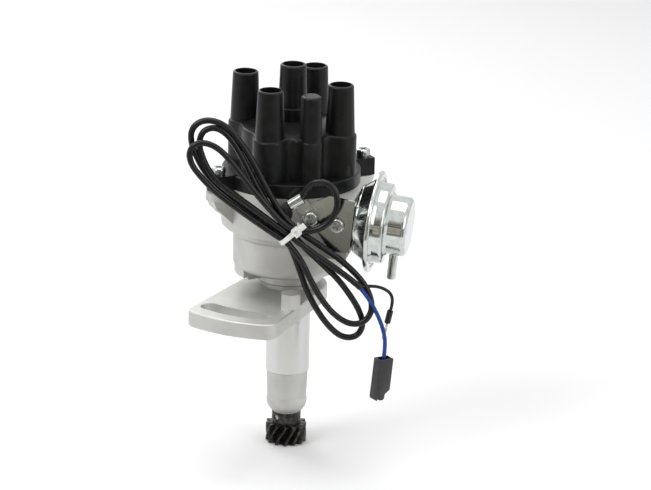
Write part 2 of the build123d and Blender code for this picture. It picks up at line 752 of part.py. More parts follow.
weight_azimuths = (0.0, 180.0)
spring_post_azimuths = (150.0, 330.0)
spring_post_circle = 22.0
spring_post_r = 1.3
spring_post_top_z = cam_plate_top_z + 4.4
with BuildPart() as governor_plate:
    with BuildSketch(Plane.XY.offset(washer_top_z + 0.2)):
        Circle(bearing_boss_r - 2)
    extrude(amount=governor_z - washer_top_z - 0.2)
    with BuildSketch(Plane.XY.offset(governor_z)):
        Circle(governor_r)
        for azimuth in (75.0, 255.0):
            with Locations(Location(polar(governor_r + 2, azimuth), azimuth)):
                Rectangle(12, 34, mode=Mode.SUBTRACT)
    extrude(amount=governor_thickness)
    with Locations((0, 0, governor_top_z)):
        Hole(shaft_r, depth=governor_top_z - washer_top_z)
save(governor_plate, "governor_plate")

with BuildPart() as weight_pins:
    for azimuth in weight_azimuths:
        with BuildSketch(Plane.XY.offset(governor_top_z)):
            with Locations(polar(weight_pivot_r, azimuth)):
                Circle(weight_pin_r)
        extrude(amount=weight_thickness + 1.2)
save(weight_pins, "weight_pins")

with BuildPart() as spring_posts:
    for azimuth in spring_post_azimuths:
        with BuildSketch(Plane.XY.offset(governor_top_z)):
            with Locations(polar(spring_post_circle, azimuth)):
                Circle(spring_post_r)
        extrude(amount=spring_post_top_z - governor_top_z)
save(spring_posts, "spring_posts")

weight_inner_r = 10.5
weight_outer_r = 22.5
weight_start = 8.0
weight_end = 122.0
weights = []
for number, azimuth in enumerate(weight_azimuths, start=1):
    with BuildPart() as weight:
        with BuildSketch(Plane.XY.offset(weight_bottom_z)):
            with BuildLine():
                outer = CenterArc((0, 0), weight_outer_r, azimuth + weight_start, weight_end - weight_start)
                inner = CenterArc((0, 0), weight_inner_r, azimuth + weight_start, weight_end - weight_start)
                Line(outer @ 0, inner @ 0)
                Line(outer @ 1, inner @ 1)
            make_face()
            with Locations(polar(weight_pivot_r, azimuth)):
                Circle(weight_pin_r + 2.2)
            with Locations(polar(drive_pin_circle, azimuth)):
                Circle(drive_pin_r + 1.6)
            with Locations(Location(polar((drive_pin_circle + weight_pivot_r) / 2, azimuth), azimuth)):
                Rectangle(weight_pivot_r - drive_pin_circle, 2 * drive_pin_r + 2.4)
            with Locations(polar(weight_pivot_r, azimuth)):
                Circle(weight_pin_r + run_gap, mode=Mode.SUBTRACT)
        extrude(amount=weight_thickness)
        with BuildSketch(Plane.XY.offset(weight_top_z)):
            with Locations(polar(drive_pin_circle, azimuth)):
                Circle(drive_pin_r)
        extrude(amount=cam_plate_top_z - weight_top_z)
    save(weight, f"governor_weight_{number}")

spring_lug_azimuths = (205.0, 25.0)
spring_lug_circle = 12.8
with BuildPart() as rotor_sleeve:
    with BuildSketch(Plane.XY.offset(sleeve_bottom_z)):
        Circle(sleeve_r)
    extrude(amount=sleeve_top_z - sleeve_bottom_z)
    with BuildSketch(Plane.XY.offset(cam_plate_z)):
        Circle(cam_plate_r)
        for azimuth in weight_azimuths:
            with Locations(Location(polar(drive_pin_circle + 1.2, azimuth), azimuth)):
                SlotOverall(2 * (drive_pin_r + hole_gap) + 3.4, 2 * (drive_pin_r + hole_gap), mode=Mode.SUBTRACT)
    extrude(amount=cam_plate_thickness)
    with BuildSketch(Plane.XY.offset(cam_plate_top_z)):
        for azimuth in spring_lug_azimuths:
            with Locations(polar(spring_lug_circle, azimuth)):
                Circle(spring_post_r)
    extrude(amount=spring_post_top_z - cam_plate_top_z)
    with Locations((0, 0, sleeve_bore_top_z)):
        Hole(spindle_r + 0.04, depth=sleeve_bore_top_z - sleeve_bottom_z)
    with Locations((0, 0, sleeve_top_z)):
        Hole(5.2, depth=sleeve_top_z - sleeve_bore_top_z)
save(rotor_sleeve, "rotor_sleeve")

# Two governor springs, each from a post on the governor plate to a lug on the sleeve
governor_spring_r = 1.3
spring_level_z = cam_plate_top_z + 2.2
with BuildPart() as governor_springs:
    for post, lug in zip(spring_post_azimuths, spring_lug_azimuths):
        start = Vector(*polar(spring_post_circle, post, spring_level_z))
        finish = Vector(*polar(spring_lug_circle, lug, spring_level_z))
        run = (finish - start).normalized()
        clear = spring_post_r + slide_gap
        length = (finish - start).length - 2 * clear
        add(coil(Plane(origin=start + run * clear, z_dir=run), governor_spring_r, 0.3, length, 8))
save(governor_springs, "governor_springs")

with BuildPart() as sleeve_screw:
    add(pan_screw(Plane.XY.offset(spindle_top_z + slide_gap), 1.6, 10.0, 4.8, 2.4))
save(sleeve_screw, "sleeve_screw")

with BuildPart() as reluctor:
    with BuildSketch(Plane.XY.offset(reluctor_bottom_z)):
        Circle(reluctor_root_r)
        with PolarLocations(0, reluctor_arms):
            with Locations((reluctor_tip_r / 2, 0)):
                Rectangle(reluctor_tip_r, 3.4)
        Circle(reluctor_tip_r, mode=Mode.INTERSECT)
        Circle(sleeve_r, mode=Mode.SUBTRACT)
    extrude(amount=reluctor_height)
save(reluctor, "reluctor")

with BuildPart() as rotor_arm:
    with BuildSketch(Plane.XY.offset(rotor_bottom_z)):
        Circle(rotor_hub_r)
    extrude(amount=rotor_arm_bottom_z - rotor_bottom_z)
    with BuildSketch(Plane.XY.offset(rotor_arm_bottom_z)):
        with BuildLine():
            Polyline((0, rotor_hub_r), (rotor_tip_r - 2.5, contact_width / 2 + 1.6),
                     (rotor_tip_r - 2.5, -contact_width / 2 - 1.6), (0, -rotor_hub_r),
                     (-rotor_hub_r - 4, -rotor_hub_r + 2), (-rotor_hub_r - 4, rotor_hub_r - 2), close=True)
        make_face()
    extrude(amount=rotor_arm_top_z - rotor_arm_bottom_z)
    fillet(rotor_arm.edges().filter_by(Axis.Z).filter_by(lambda e: e.center().Z > rotor_arm_bottom_z), 1.5)
    with Locations((0, 0, rotor_bottom_z)):
        with Locations(Location((0, 0, sleeve_top_z - rotor_bottom_z))):
            Hole(sleeve_r, depth=sleeve_top_z - rotor_bottom_z)
save(rotor_arm, "rotor_arm")

with BuildPart() as rotor_contact:
    with BuildSketch(Plane.XY.offset(rotor_arm_top_z)):
        with Locations(((rotor_tip_r - 6) / 2, 0)):
            Rectangle(rotor_tip_r + 6, contact_width)
        Circle(rotor_tip_r, mode=Mode.INTERSECT)
    extrude(amount=contact_thickness)
save(rotor_contact, "rotor_contact")

# ================================================================ pickup and vacuum advance
base_plate_top_z = ledge_z + base_plate_thickness
advance_plate_z = base_plate_top_z + slide_gap
advance_plate_top_z = advance_plate_z + advance_plate_thickness
rod_pin_azimuth = -90.0 - degrees(rod_stroke / 2 / -vac_centre[1])
rod_pin_circle = -vac_centre[1] / cos(radians(rod_pin_azimuth + 90.0))
rod_pin_x, rod_pin_y, _ = polar(rod_pin_circle, rod_pin_azimuth)
rod_end_distance = (vac_centre[0] - rod_pin_x) / cos(radians(vac_droop))
rod_end_z = vac_centre[2] + rod_end_distance * sin(radians(vac_droop))

with BuildPart() as base_plate:
    with BuildSketch(Plane.XY.offset(ledge_z)):
        Circle(upper_inner_r - slide_gap)
        Circle(base_plate_bore_r, mode=Mode.SUBTRACT)
        for azimuth in base_screw_azimuths:
            with Locations(polar(base_screw_circle, azimuth)):
                Circle(screw_shank_r, mode=Mode.SUBTRACT)
    extrude(amount=base_plate_thickness)
    with BuildSketch(Plane.XY.offset(base_plate_top_z)):
        Circle(base_collar_r)
        Circle(base_plate_bore_r, mode=Mode.SUBTRACT)
    extrude(amount=base_collar_height)
save(base_plate, "base_plate")

with BuildPart() as base_screws:
    for azimuth in base_screw_azimuths:
        add(pan_screw(Plane(origin=polar(base_screw_circle, azimuth, base_plate_top_z), z_dir=(0, 0, 1)),
                      screw_shank_r, base_plate_thickness, 3.4, 2.0))
save(base_screws, "base_screws")

pickup_plane = Plane(origin=(0, 0, 0), x_dir=polar(1, pickup_azimuth), z_dir=polar(1, pickup_azimuth - 90))
core_half = 2.5
core_middle_z = reluctor_bottom_z + reluctor_height / 2 + 0.6
core_foot_r = 26.5
coil_outer_r = 4.9
coil_start_r = 16.8
coil_end_r = 24.5
with BuildPart() as advance_plate:
    with BuildSketch(Plane.XY.offset(advance_plate_z)):
        Circle(advance_plate_r)
        Circle(base_collar_r + 0.05, mode=Mode.SUBTRACT)
        with Locations(polar(rod_pin_circle, rod_pin_azimuth)):
            Circle(rod_pin_r + hole_gap, mode=Mode.SUBTRACT)
        for azimuth in (-150.0, 30.0):
            with BuildLine(mode=Mode.PRIVATE) as slot_line:
                CenterArc((0, 0), 24.0, azimuth - 14, 28)
            SlotArc(slot_line.edges()[0], 5.0, mode=Mode.SUBTRACT)
    extrude(amount=advance_plate_thickness)
save(advance_plate, "advance_plate")

with BuildPart() as pickup_core:
    with BuildSketch(pickup_plane):
        with BuildLine():
            Polyline(
                (reluctor_tip_r + pickup_gap, core_middle_z + core_half),
                (core_foot_r + 4, core_middle_z + core_half),
                (core_foot_r + 4, advance_plate_top_z + 2.4),
                (core_foot_r - 0.6, advance_plate_top_z + 2.4),
                (core_foot_r - 0.6, core_middle_z - core_half),
                (reluctor_tip_r + pickup_gap, core_middle_z - core_half),
                close=True,
            )
        make_face()
    extrude(amount=core_half, both=True)
    with BuildSketch(Plane.XY.offset(core_middle_z)):
        Circle(reluctor_tip_r + pickup_gap)
    extrude(amount=core_half + 1, both=True, mode=Mode.SUBTRACT)
save(pickup_core, "pickup_core")

with BuildPart() as pickup_magnet:
    with BuildSketch(Plane.XY.offset(advance_plate_top_z)):
        with Locations(Location(polar(core_foot_r + 1.7, pickup_azimuth), pickup_azimuth)):
            Rectangle(4.6, 9.0)
    extrude(amount=2.4)
save(pickup_magnet, "pickup_magnet")

with BuildPart() as pickup_coil:
    reel = Plane(origin=polar(coil_start_r, pickup_azimuth, core_middle_z), x_dir=(0, 0, 1),
                 z_dir=polar(1, pickup_azimuth))
    flange = 1.2
    with BuildSketch(reel):
        Circle(coil_outer_r - 1)
    extrude(amount=coil_end_r - coil_start_r)
    for start in (0, coil_end_r - coil_start_r - flange):
        with BuildSketch(reel.offset(start)):
            Circle(coil_outer_r)
        extrude(amount=flange)
    with BuildSketch(reel):
        Rectangle(2 * core_half, 2 * core_half)
    extrude(amount=coil_end_r - coil_start_r, mode=Mode.SUBTRACT)
save(pickup_coil, "pickup_coil")

# ---------------------------------------------------------------- vacuum canister
half_flange = vac_flange_thickness / 2
membrane = 0.8
with BuildPart() as vacuum_back_shell:
    with BuildSketch(vac_section):
        with BuildLine():
            Polyline(
                (rod_r + rod_gap, -vac_back_depth - vac_neck_length),
                (vac_neck_r, -vac_back_depth - vac_neck_length),
                (vac_neck_r, -vac_back_depth),
                (vac_back_end_r - vac_corner_r, -vac_back_depth),
            )
            RadiusArc((vac_back_end_r - vac_corner_r, -vac_back_depth),
                      (vac_back_end_r, -vac_back_depth + vac_corner_r), -vac_corner_r)
            Polyline(
                (vac_back_end_r, -vac_back_depth + vac_corner_r),
                (vac_back_r, -half_flange),
                (vac_flange_r - 0.9, -half_flange),
            )
            RadiusArc((vac_flange_r - 0.9, -half_flange), (vac_flange_r - 0.9, half_flange), -half_flange)
            Polyline(
                (vac_flange_r - 0.9, half_flange),
                (vac_front_r + 3.2, half_flange),
                (vac_front_r + 3.2, half_flange - 0.7),
                (vac_flange_r - 1.2, half_flange - 0.7),
                (vac_flange_r - 1.2, -membrane / 2),
                (vac_back_r - vac_wall, -membrane / 2),
                (vac_back_end_r - vac_wall, -vac_back_depth + vac_wall),
                (rod_r + rod_gap, -vac_back_depth + vac_wall),
                (rod_r + rod_gap, -vac_back_depth - vac_neck_length),
            )
        make_face()
    revolve(axis=vac_line)
save(vacuum_back_shell, "vacuum_back_shell")

with BuildPart() as vacuum_front_shell:
    front_lip = half_flange - 0.7
    with BuildSketch(vac_section):
        with BuildLine():
            Polyline(
                (vac_flange_r - 1.2, membrane / 2),
                (vac_flange_r - 1.2, front_lip),
                (vac_front_r + 1.2, front_lip),
                (vac_front_r, front_lip + 2.0),
                (vac_front_r, vac_front_depth - 1.8),
            )
            RadiusArc((vac_front_r, vac_front_depth - 1.8), (vac_front_r - 1.8, vac_front_depth), -1.8)
            Polyline(
                (vac_front_r - 1.8, vac_front_depth),
                (vac_drum_r + vac_step, vac_front_depth + vac_step / 4),
                (vac_drum_r, vac_front_depth + 1.25 * vac_step),
                (vac_drum_r, vac_drum_depth - 3.0),
            )
            RadiusArc((vac_drum_r, vac_drum_depth - 3.0), (vac_drum_r - 3.0, vac_drum_depth), -3.0)
            Polyline(
                (vac_drum_r - 3.0, vac_drum_depth),
                (0, vac_drum_depth),
                (0, vac_drum_depth - vac_wall),
                (vac_drum_r - vac_wall - 1.8, vac_drum_depth - vac_wall),
                (vac_drum_r - vac_wall, vac_drum_depth - vac_wall - 1.8),
                (vac_drum_r - vac_wall, vac_front_depth - vac_wall + 1.4),
                (vac_front_r - vac_wall - 1.4, vac_front_depth - vac_wall),
                (vac_front_r - vac_wall, vac_front_depth - vac_wall - 1.4),
                (vac_front_r - vac_wall, membrane / 2),
                (vac_flange_r - 1.2, membrane / 2),
            )
        make_face()
    revolve(axis=vac_line)
    # Socket for the hose nipple in the underside of the drum
    nipple_axis = Vector(-sin(radians(vac_droop)), 0, -cos(radians(vac_droop)))
    nipple_plane = Plane(origin=Vector(*vac_centre) + Vector(*vac_axis) * nipple_at, z_dir=nipple_axis)
    with BuildSketch(nipple_plane.offset(vac_drum_r - 4)):
        Circle(nipple_stem_r)
    extrude(amount=8, mode=Mode.SUBTRACT)
save(vacuum_front_shell, "vacuum_front_shell")

with BuildPart() as vacuum_nipple:
    with BuildSketch(nipple_plane.offset(vac_drum_r - vac_wall - 1)):
        Circle(nipple_stem_r)
    extrude(amount=vac_wall + 1 + nipple_shoulder)
    with BuildSketch(nipple_plane.offset(vac_drum_r + nipple_shoulder)):
        Circle(nipple_r)
    extrude(amount=nipple_length - nipple_shoulder)
    nipple_end = vacuum_nipple.faces().sort_by(Axis(nipple_plane.origin, nipple_plane.z_dir))[-1]
    chamfer(nipple_end.edges(), 0.5)
    with BuildSketch(nipple_plane.offset(vac_drum_r - vac_wall - 1)):
        Circle(nipple_bore_r)
    extrude(amount=nipple_length + vac_wall + 1, mode=Mode.SUBTRACT)
save(vacuum_nipple, "vacuum_nipple")

clamp_r = 14.0
clamp_thickness = 1.0
with BuildPart() as diaphragm:
    with BuildSketch(vac_plane.offset(-membrane / 2)):
        Circle(vac_flange_r - 1.2)
        Circle(rod_r, mode=Mode.SUBTRACT)
    extrude(amount=membrane)
save(diaphragm, "diaphragm")

with BuildPart() as vacuum_rod:
    # Rod, clamping plates on each side of the diaphragm, and the turned-down pin at its end
    with BuildSketch(vac_plane.offset(membrane / 2 + clamp_thickness)):
        Circle(rod_r)
    extrude(amount=-rod_end_distance - membrane / 2 - clamp_thickness)
    for side in (membrane / 2, -membrane / 2 - clamp_thickness):
        with BuildSketch(vac_plane.offset(side)):
            Circle(clamp_r)
        extrude(amount=clamp_thickness)
    with BuildSketch(Plane.XY.offset(advance_plate_z + 0.3)):
        with Locations((rod_pin_x, vac_centre[1])):
            Circle(rod_pin_r)
    extrude(amount=rod_end_z - advance_plate_z - 0.3)
    with Locations((rod_pin_x, vac_centre[1], rod_end_z)):
        Sphere(rod_r)
save(vacuum_rod, "vacuum_rod")

with BuildPart() as vacuum_spring:
    add(coil(vac_plane.offset(membrane / 2 + clamp_thickness), 9.0, 0.7,
             vac_drum_depth - vac_wall - membrane / 2 - clamp_thickness, 5))
save(vacuum_spring, "vacuum_spring")

with BuildPart() as vacuum_bracket:
    tab_plane = vac_plane.offset(-vac_back_depth)
    left, low = 15.5, 46.2
    # Front plate, with its sloping top and cut lower corner
    front = Plane(origin=(0, pad_front_y, 0), x_dir=(1, 0, 0), z_dir=(0, -1, 0))
    with BuildSketch(front):
        with BuildLine():
            Polyline((left, 61.0), (left, 71.0), (21.9, 76.4), (32.5, 81.6), (54.0, 77.9), (54.0, low),
                     (36.0, low), (31.5, 49.0), (24.0, 59.5), close=True)
        make_face()
    extrude(amount=bracket_thickness)
    # Tab behind the canister, with a hole for its neck
    with BuildSketch(tab_plane):
        with Locations((pad_front_y - bracket_thickness - vac_centre[1], 0)):
            Rectangle(34.0, 27.0, align=(Align.MIN, Align.CENTER))
    extrude(amount=-bracket_thickness)
    split(bisect_by=tab_plane, keep=Keep.BOTTOM)
    with BuildSketch(tab_plane):
        Circle(vac_neck_r)
    extrude(amount=-bracket_thickness, mode=Mode.SUBTRACT)
    for x, z in bracket_screws_xz:
        with BuildSketch(front):
            with Locations((x, z)):
                Circle(screw_shank_r)
        extrude(amount=bracket_thickness, mode=Mode.SUBTRACT)
save(vacuum_bracket, "vacuum_bracket")

# Strip clip held by the left bracket screw: it runs up to the left and curls round the lead
clip_thickness = 0.9
clip_width = 9.0
clip_reach = 14.0
clip_curl_r = 3.7
clip_front_y = pad_front_y - bracket_thickness
clip_run = Vector(-0.58, 0, 0.81).normalized()
clip_plane = Plane(origin=(bracket_screws_xz[0][0], clip_front_y, bracket_screws_xz[0][1]),
                   x_dir=clip_run, z_dir=clip_run.cross(Vector(0, -1, 0)))
with BuildPart() as lead_clip:
    with BuildSketch(clip_plane):
        with BuildLine():
            Line((-5.0, clip_thickness / 2), (clip_reach, clip_thickness / 2))
            CenterArc((clip_reach, clip_thickness / 2 + clip_curl_r), clip_curl_r, -90, 235)
        trace(line_width=clip_thickness)
    extrude(amount=clip_width / 2, both=True)
    with BuildSketch(Plane(origin=clip_plane.origin, z_dir=(0, -1, 0))):
        Circle(screw_shank_r)
    extrude(amount=clip_thickness + 1, both=True, mode=Mode.SUBTRACT)
save(lead_clip, "lead_clip")

with BuildPart() as bracket_screws:
    for (x, z), packing in zip(bracket_screws_xz, (clip_thickness, 0)):
        seat = Plane(origin=(x, pad_front_y - bracket_thickness - packing, z), x_dir=(1, 0, 0.5), z_dir=(0, -1, 0))
        add(pan_screw(seat, screw_shank_r, bracket_screw_length, screw_head_r, screw_head_height))
save(bracket_screws, "bracket_screws")

# ================================================================ leads
hank_facing = -79.0              # azimuth that the tied hank faces
hank_distance = upper_r + 11.5   # its middle, from the shaft
hank_thickness = 10.0
tie_width = 3.2
tie_thickness = 1.2


def corner_radii(points):
    """As large an arc at each corner as its two runs allow."""
    radii = []
    for before, corner, after in zip(points, points[1:], points[2:]):
        first, second = corner - before, after - corner
        turn = radians(first.get_angle(second))
        radii.append(0.45 * min(first.length, second.length) / tan(turn / 2))
    return radii


def tube(points, radius, label):
    """A lead along straight runs joined by tangent arcs."""
    radii = corner_radii(points)
    print(label, "bend radii", [round(value, 1) for value in radii])
    with BuildPart() as lead:
        with BuildLine() as path:
            FilletPolyline(*points, radius=radii)
        with BuildSketch(Plane(origin=path.line @ 0, z_dir=path.line % 0)):
            Circle(radius)
        sweep()
    length = path.wires()[0].length
    print(label, "length", round(length, 1), "volume ratio",
          round(lead.part.volume / (length * pi * radius ** 2), 3))
    return lead


# From the grommet up through the clip, once round clockwise and back to the tie
lead_route = [Vector(x, -upper_r - out, z) for x, out, z in (
    (8.4, 3.4, 74.9),
    (13.6, 3.6, 79.0),
    (18.2, 4.2, 84.9),
    (22.4, 5.4, 91.8),
    (31.0, 6.2, 92.8),
    (37.6, 6.6, 87.4),
    (39.0, 6.8, 78.4),
    (36.2, 7.0, 69.6),
    (29.6, 7.8, 63.4),
    (21.6, 8.8, 61.0),
    (14.8, 9.8, 60.0),
)]
pickup_lead = tube(lead_route, lead_r, "pickup_lead")
save(pickup_lead, "pickup_lead")

hank_plane = Plane(origin=polar(hank_distance, hank_facing), x_dir=polar(1, hank_facing + 90),
                   z_dir=polar(1, hank_facing))
tie_at = (0.0, 59.0)
upper_loop_at, upper_loop_r = (-50.5, 117.0), 12.5
lower_loop_at, lower_loop_r = (34.5, 11.5), 15.0
with BuildPart() as lead_hank:
    with BuildSketch(hank_plane.offset(-hank_thickness / 2)):
        for place, radius in ((upper_loop_at, upper_loop_r), (lower_loop_at, lower_loop_r)):
            with BuildSketch(mode=Mode.PRIVATE) as lobe:
                with Locations(place):
                    Circle(radius)
                with Locations(tie_at):
                    Circle(5.5)
                make_hull()
            add(lobe.sketch)
    extrude(amount=hank_thickness)
    fillet(lead_hank.faces().filter_by(Axis((0, 0, 0), hank_plane.z_dir)).edges(), 1.8)
save(lead_hank, "lead_hank")

tie_turn = 48.0
tie_plane = Plane(origin=hank_plane.from_local_coords((tie_at[0], tie_at[1], 0)),
                  x_dir=hank_plane.z_dir, z_dir=hank_plane.x_dir.rotate(Axis((0, 0, 0), hank_plane.z_dir), -tie_turn))
with BuildPart() as cable_tie:
    with BuildSketch(tie_plane.offset(-tie_width / 2)):
        RectangleRounded(hank_thickness + 2.8, 16.4, 4.0)
        RectangleRounded(hank_thickness + 0.4, 14.0, 2.8, mode=Mode.SUBTRACT)
    extrude(amount=tie_width)
save(cable_tie, "cable_tie")

connector_down = Vector(-0.09, -0.01, -1).normalized()
connector_top = Vector(68.5, -41.3, -20.0)
connector_pocket = 5.0
blue_route = [Vector(*point) for point in (
    (53.5, -47.4, 26.0), (57.3, -46.6, 21.5), (61.6, -45.8, 14.5), (65.4, -44.9, 6.8),
    (68.2, -43.6, -1.7), (69.5, -42.0, -11.0))]
blue_route.append(connector_top + connector_down * (connector_pocket - 0.1))
blue_lead = tube(blue_route, blue_r, "blue_lead")
save(blue_lead, "blue_lead")

black_route = [Vector(*point) for point in (
    (55.0, -44.6, 26.2), (60.4, -41.2, 25.6), (66.2, -38.6, 23.4), (70.6, -37.0, 19.4),
    (71.9, -36.0, 14.2), (70.7, -35.4, 8.9))]
black_lead = tube(black_route, black_r, "black_lead")
save(black_lead, "black_lead")

# Crimped ring terminal on the end of the black lead
crimp_direction = (black_route[-1] - black_route[-2]).normalized()
crimp_plane = Plane(origin=black_route[-1], x_dir=(0, 1, 0), z_dir=crimp_direction)
crimp_length = 8.5
ring_r = 5.2
ring_hole_r = 2.7
ring_thickness = 1.0
with BuildPart() as crimp_sleeve:
    with BuildSketch(crimp_plane):
        Circle(black_r + 0.9)
    extrude(amount=crimp_length)
    fillet(crimp_sleeve.edges().filter_by(GeomType.CIRCLE), 0.4)
save(crimp_sleeve, "crimp_sleeve")
with BuildPart() as ring_terminal:
    flat = Plane(origin=crimp_plane.from_local_coords((0, 0, crimp_length)), x_dir=crimp_direction,
                 z_dir=crimp_plane.y_dir)
    with BuildSketch(flat):
        with Locations((ring_r + 1.0, 0)):
            Circle(ring_r)
        Rectangle(ring_r, 4.4, align=(Align.MIN, Align.CENTER))
        with Locations((ring_r + 1.0, 0)):
            Circle(ring_hole_r, mode=Mode.SUBTRACT)
    extrude(amount=ring_thickness / 2, both=True)
save(ring_terminal, "ring_terminal")

connector_length = 27.0
connector_width = 10.6
connector_depth = 6.5
connector_turn = 37.0
connector_plane = Plane(origin=connector_top, x_dir=polar(1, hank_facing + 90 + connector_turn),
                        z_dir=connector_down)
with BuildPart() as connector_housing:
    with BuildSketch(connector_plane):
        RectangleRounded(connector_width, connector_depth, 0.8)
    extrude(amount=connector_length)
    with BuildSketch(connector_plane):
        Rectangle(connector_width - 3.0, connector_depth - 2.4)
    extrude(amount=connector_pocket, mode=Mode.SUBTRACT)
    # Stepped lower end with a slot that leaves two prongs
    with BuildSketch(connector_plane.offset(connector_length - 6.0)):
        with Locations((connector_width / 2, 0)):
            Rectangle(7.6, connector_depth + 2)
    extrude(amount=6.0, mode=Mode.SUBTRACT)
    with BuildSketch(connector_plane.offset(connector_length - 3.0)):
        with Locations((-connector_width / 2 + 3.4, 0)):
            Rectangle(1.4, connector_depth + 2)
    extrude(amount=3.0, mode=Mode.SUBTRACT)
save(connector_housing, "connector_housing")

with BuildPart() as lead_grommet:
    with BuildSketch(grommet_plane.offset(-upper_wall)):
        Circle(grommet_r)
    extrude(amount=upper_wall + 0.5)
    with BuildSketch(grommet_plane.offset(0.4)):
        Circle(grommet_flange_r)
    extrude(amount=1.6)
    # Nose that turns the lead up along the wall
    with BuildSketch(Plane(origin=lead_route[0], z_dir=lead_route[1] - lead_route[0])):
        Circle(lead_r + 0.9)
    extrude(amount=-5.0)
save(lead_grommet, "lead_grommet")
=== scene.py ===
"""Ignition distributor: dressed scene.

Laid out as an add-on: sizes and colours sit in property groups, and each piece or group
of like pieces is made by one operator.  All lengths are metres in the object's own frame:
the origin is on the shaft axis at the underside of the mounting plate, +Z runs up through
the cap and +X the way the vacuum canister points.
"""
import json
import math

import bpy
from mathutils import Matrix, Vector


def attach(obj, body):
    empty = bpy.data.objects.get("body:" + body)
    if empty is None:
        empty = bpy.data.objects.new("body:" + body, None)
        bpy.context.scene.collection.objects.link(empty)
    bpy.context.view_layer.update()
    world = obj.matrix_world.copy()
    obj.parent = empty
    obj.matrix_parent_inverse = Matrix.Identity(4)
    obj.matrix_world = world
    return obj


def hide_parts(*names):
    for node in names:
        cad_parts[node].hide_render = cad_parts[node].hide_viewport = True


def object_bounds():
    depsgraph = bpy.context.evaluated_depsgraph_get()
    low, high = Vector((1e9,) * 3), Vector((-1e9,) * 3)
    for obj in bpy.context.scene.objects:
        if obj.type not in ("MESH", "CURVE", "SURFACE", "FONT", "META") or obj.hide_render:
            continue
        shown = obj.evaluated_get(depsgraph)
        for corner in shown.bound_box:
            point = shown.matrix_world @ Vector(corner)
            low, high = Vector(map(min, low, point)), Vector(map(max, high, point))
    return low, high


bl_info = {
    "name": "Ignition distributor",
    "version": (1, 0, 0),
    "blender": (4, 5, 0),
    "location": "View3D > Sidebar > Distributor",
    "description": "Builds the looks of an ignition distributor over its packed frame",
    "category": "Object",
}

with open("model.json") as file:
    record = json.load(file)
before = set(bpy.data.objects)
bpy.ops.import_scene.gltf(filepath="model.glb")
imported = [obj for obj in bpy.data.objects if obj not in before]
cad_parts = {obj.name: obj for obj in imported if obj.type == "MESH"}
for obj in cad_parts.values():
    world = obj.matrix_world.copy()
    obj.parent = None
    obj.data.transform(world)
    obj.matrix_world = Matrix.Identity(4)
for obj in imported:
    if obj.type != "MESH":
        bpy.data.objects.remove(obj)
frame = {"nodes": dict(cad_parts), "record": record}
nodes = frame["nodes"]
box_at_load = [[float(x) for x in corner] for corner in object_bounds()]
MM = 0.001


# ---------------------------------------------------------------- small helpers
def linear(hex_code):
    """An sRGB hex value as the linear RGBA that a shader takes."""
    channels = [int(hex_code[i:i + 2], 16) / 255 for i in (1, 3, 5)]
    return tuple(c / 12.92 if c <= 0.04045 else ((c + 0.055) / 1.055) ** 2.4
                 for c in channels) + (1.0,)


def add(tree, kind, inputs=None, **settings):
    """Adds one node, sets its properties, and fills or links its inputs."""
    made = tree.nodes.new(kind)
    for name, value in settings.items():
        setattr(made, name, value)
    for socket, value in (inputs or {}).items():
        if isinstance(value, bpy.types.NodeSocket):
            tree.links.new(value, made.inputs[socket])
        else:
            made.inputs[socket].default_value = value
    return made


def new_material(name):
    material = bpy.data.materials.new(name)
    material.use_nodes = True
    material.node_tree.nodes.clear()
    return material, material.node_tree


def close_material(tree, shader):
    add(tree, "ShaderNodeOutputMaterial", {"Surface": shader})


def polar(radius, azimuth, z=0.0):
    """A point in metres from a radius and height in millimetres and an azimuth in degrees."""
    a = math.radians(azimuth)
    return Vector((radius * math.cos(a), radius * math.sin(a), z)) * MM


def only(obj):
    """Selects one object and makes it active."""
    bpy.ops.object.select_all(action="DESELECT")
    obj.select_set(True)
    bpy.context.view_layer.objects.active = obj


def settle(obj, name, place=None):
    """Names a finished piece and writes its place into its mesh."""
    obj.name = name
    if obj.type == "MESH":
        obj.data.name = name
    if place is not None:
        obj.matrix_world = place
    only(obj)
    bpy.ops.object.transform_apply(location=True, rotation=True, scale=True)
    return obj


def dress(obj, material, body, slot, *replaced):
    """Gives a finished piece its material and its body, and hides the nodes it stands for.  The slot is not
    used.
    """
    obj.data.materials.clear()
    obj.data.materials.append(material)
    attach(obj, body)
    if replaced:
        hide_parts(*replaced)


def pick_faces(test):
    """In edit mode, leaves selected only the faces that pass the test of centre and normal."""
    mesh = bpy.context.edit_object.data
    bpy.ops.mesh.select_all(action="DESELECT")
    bpy.ops.object.mode_set(mode="OBJECT")
    for face in mesh.polygons:
        face.select = bool(test(face.center, face.normal))
    bpy.ops.object.mode_set(mode="EDIT")
    bpy.ops.mesh.select_mode(type="FACE")


def finish_with(obj, kind, **settings):
    """Adds one modifier, sets it and applies it."""
    only(obj)
    made = obj.modifiers.new(kind.title(), kind)
    for name, value in settings.items():
        setattr(made, name, value)
    bpy.ops.object.modifier_apply(modifier=made.name)


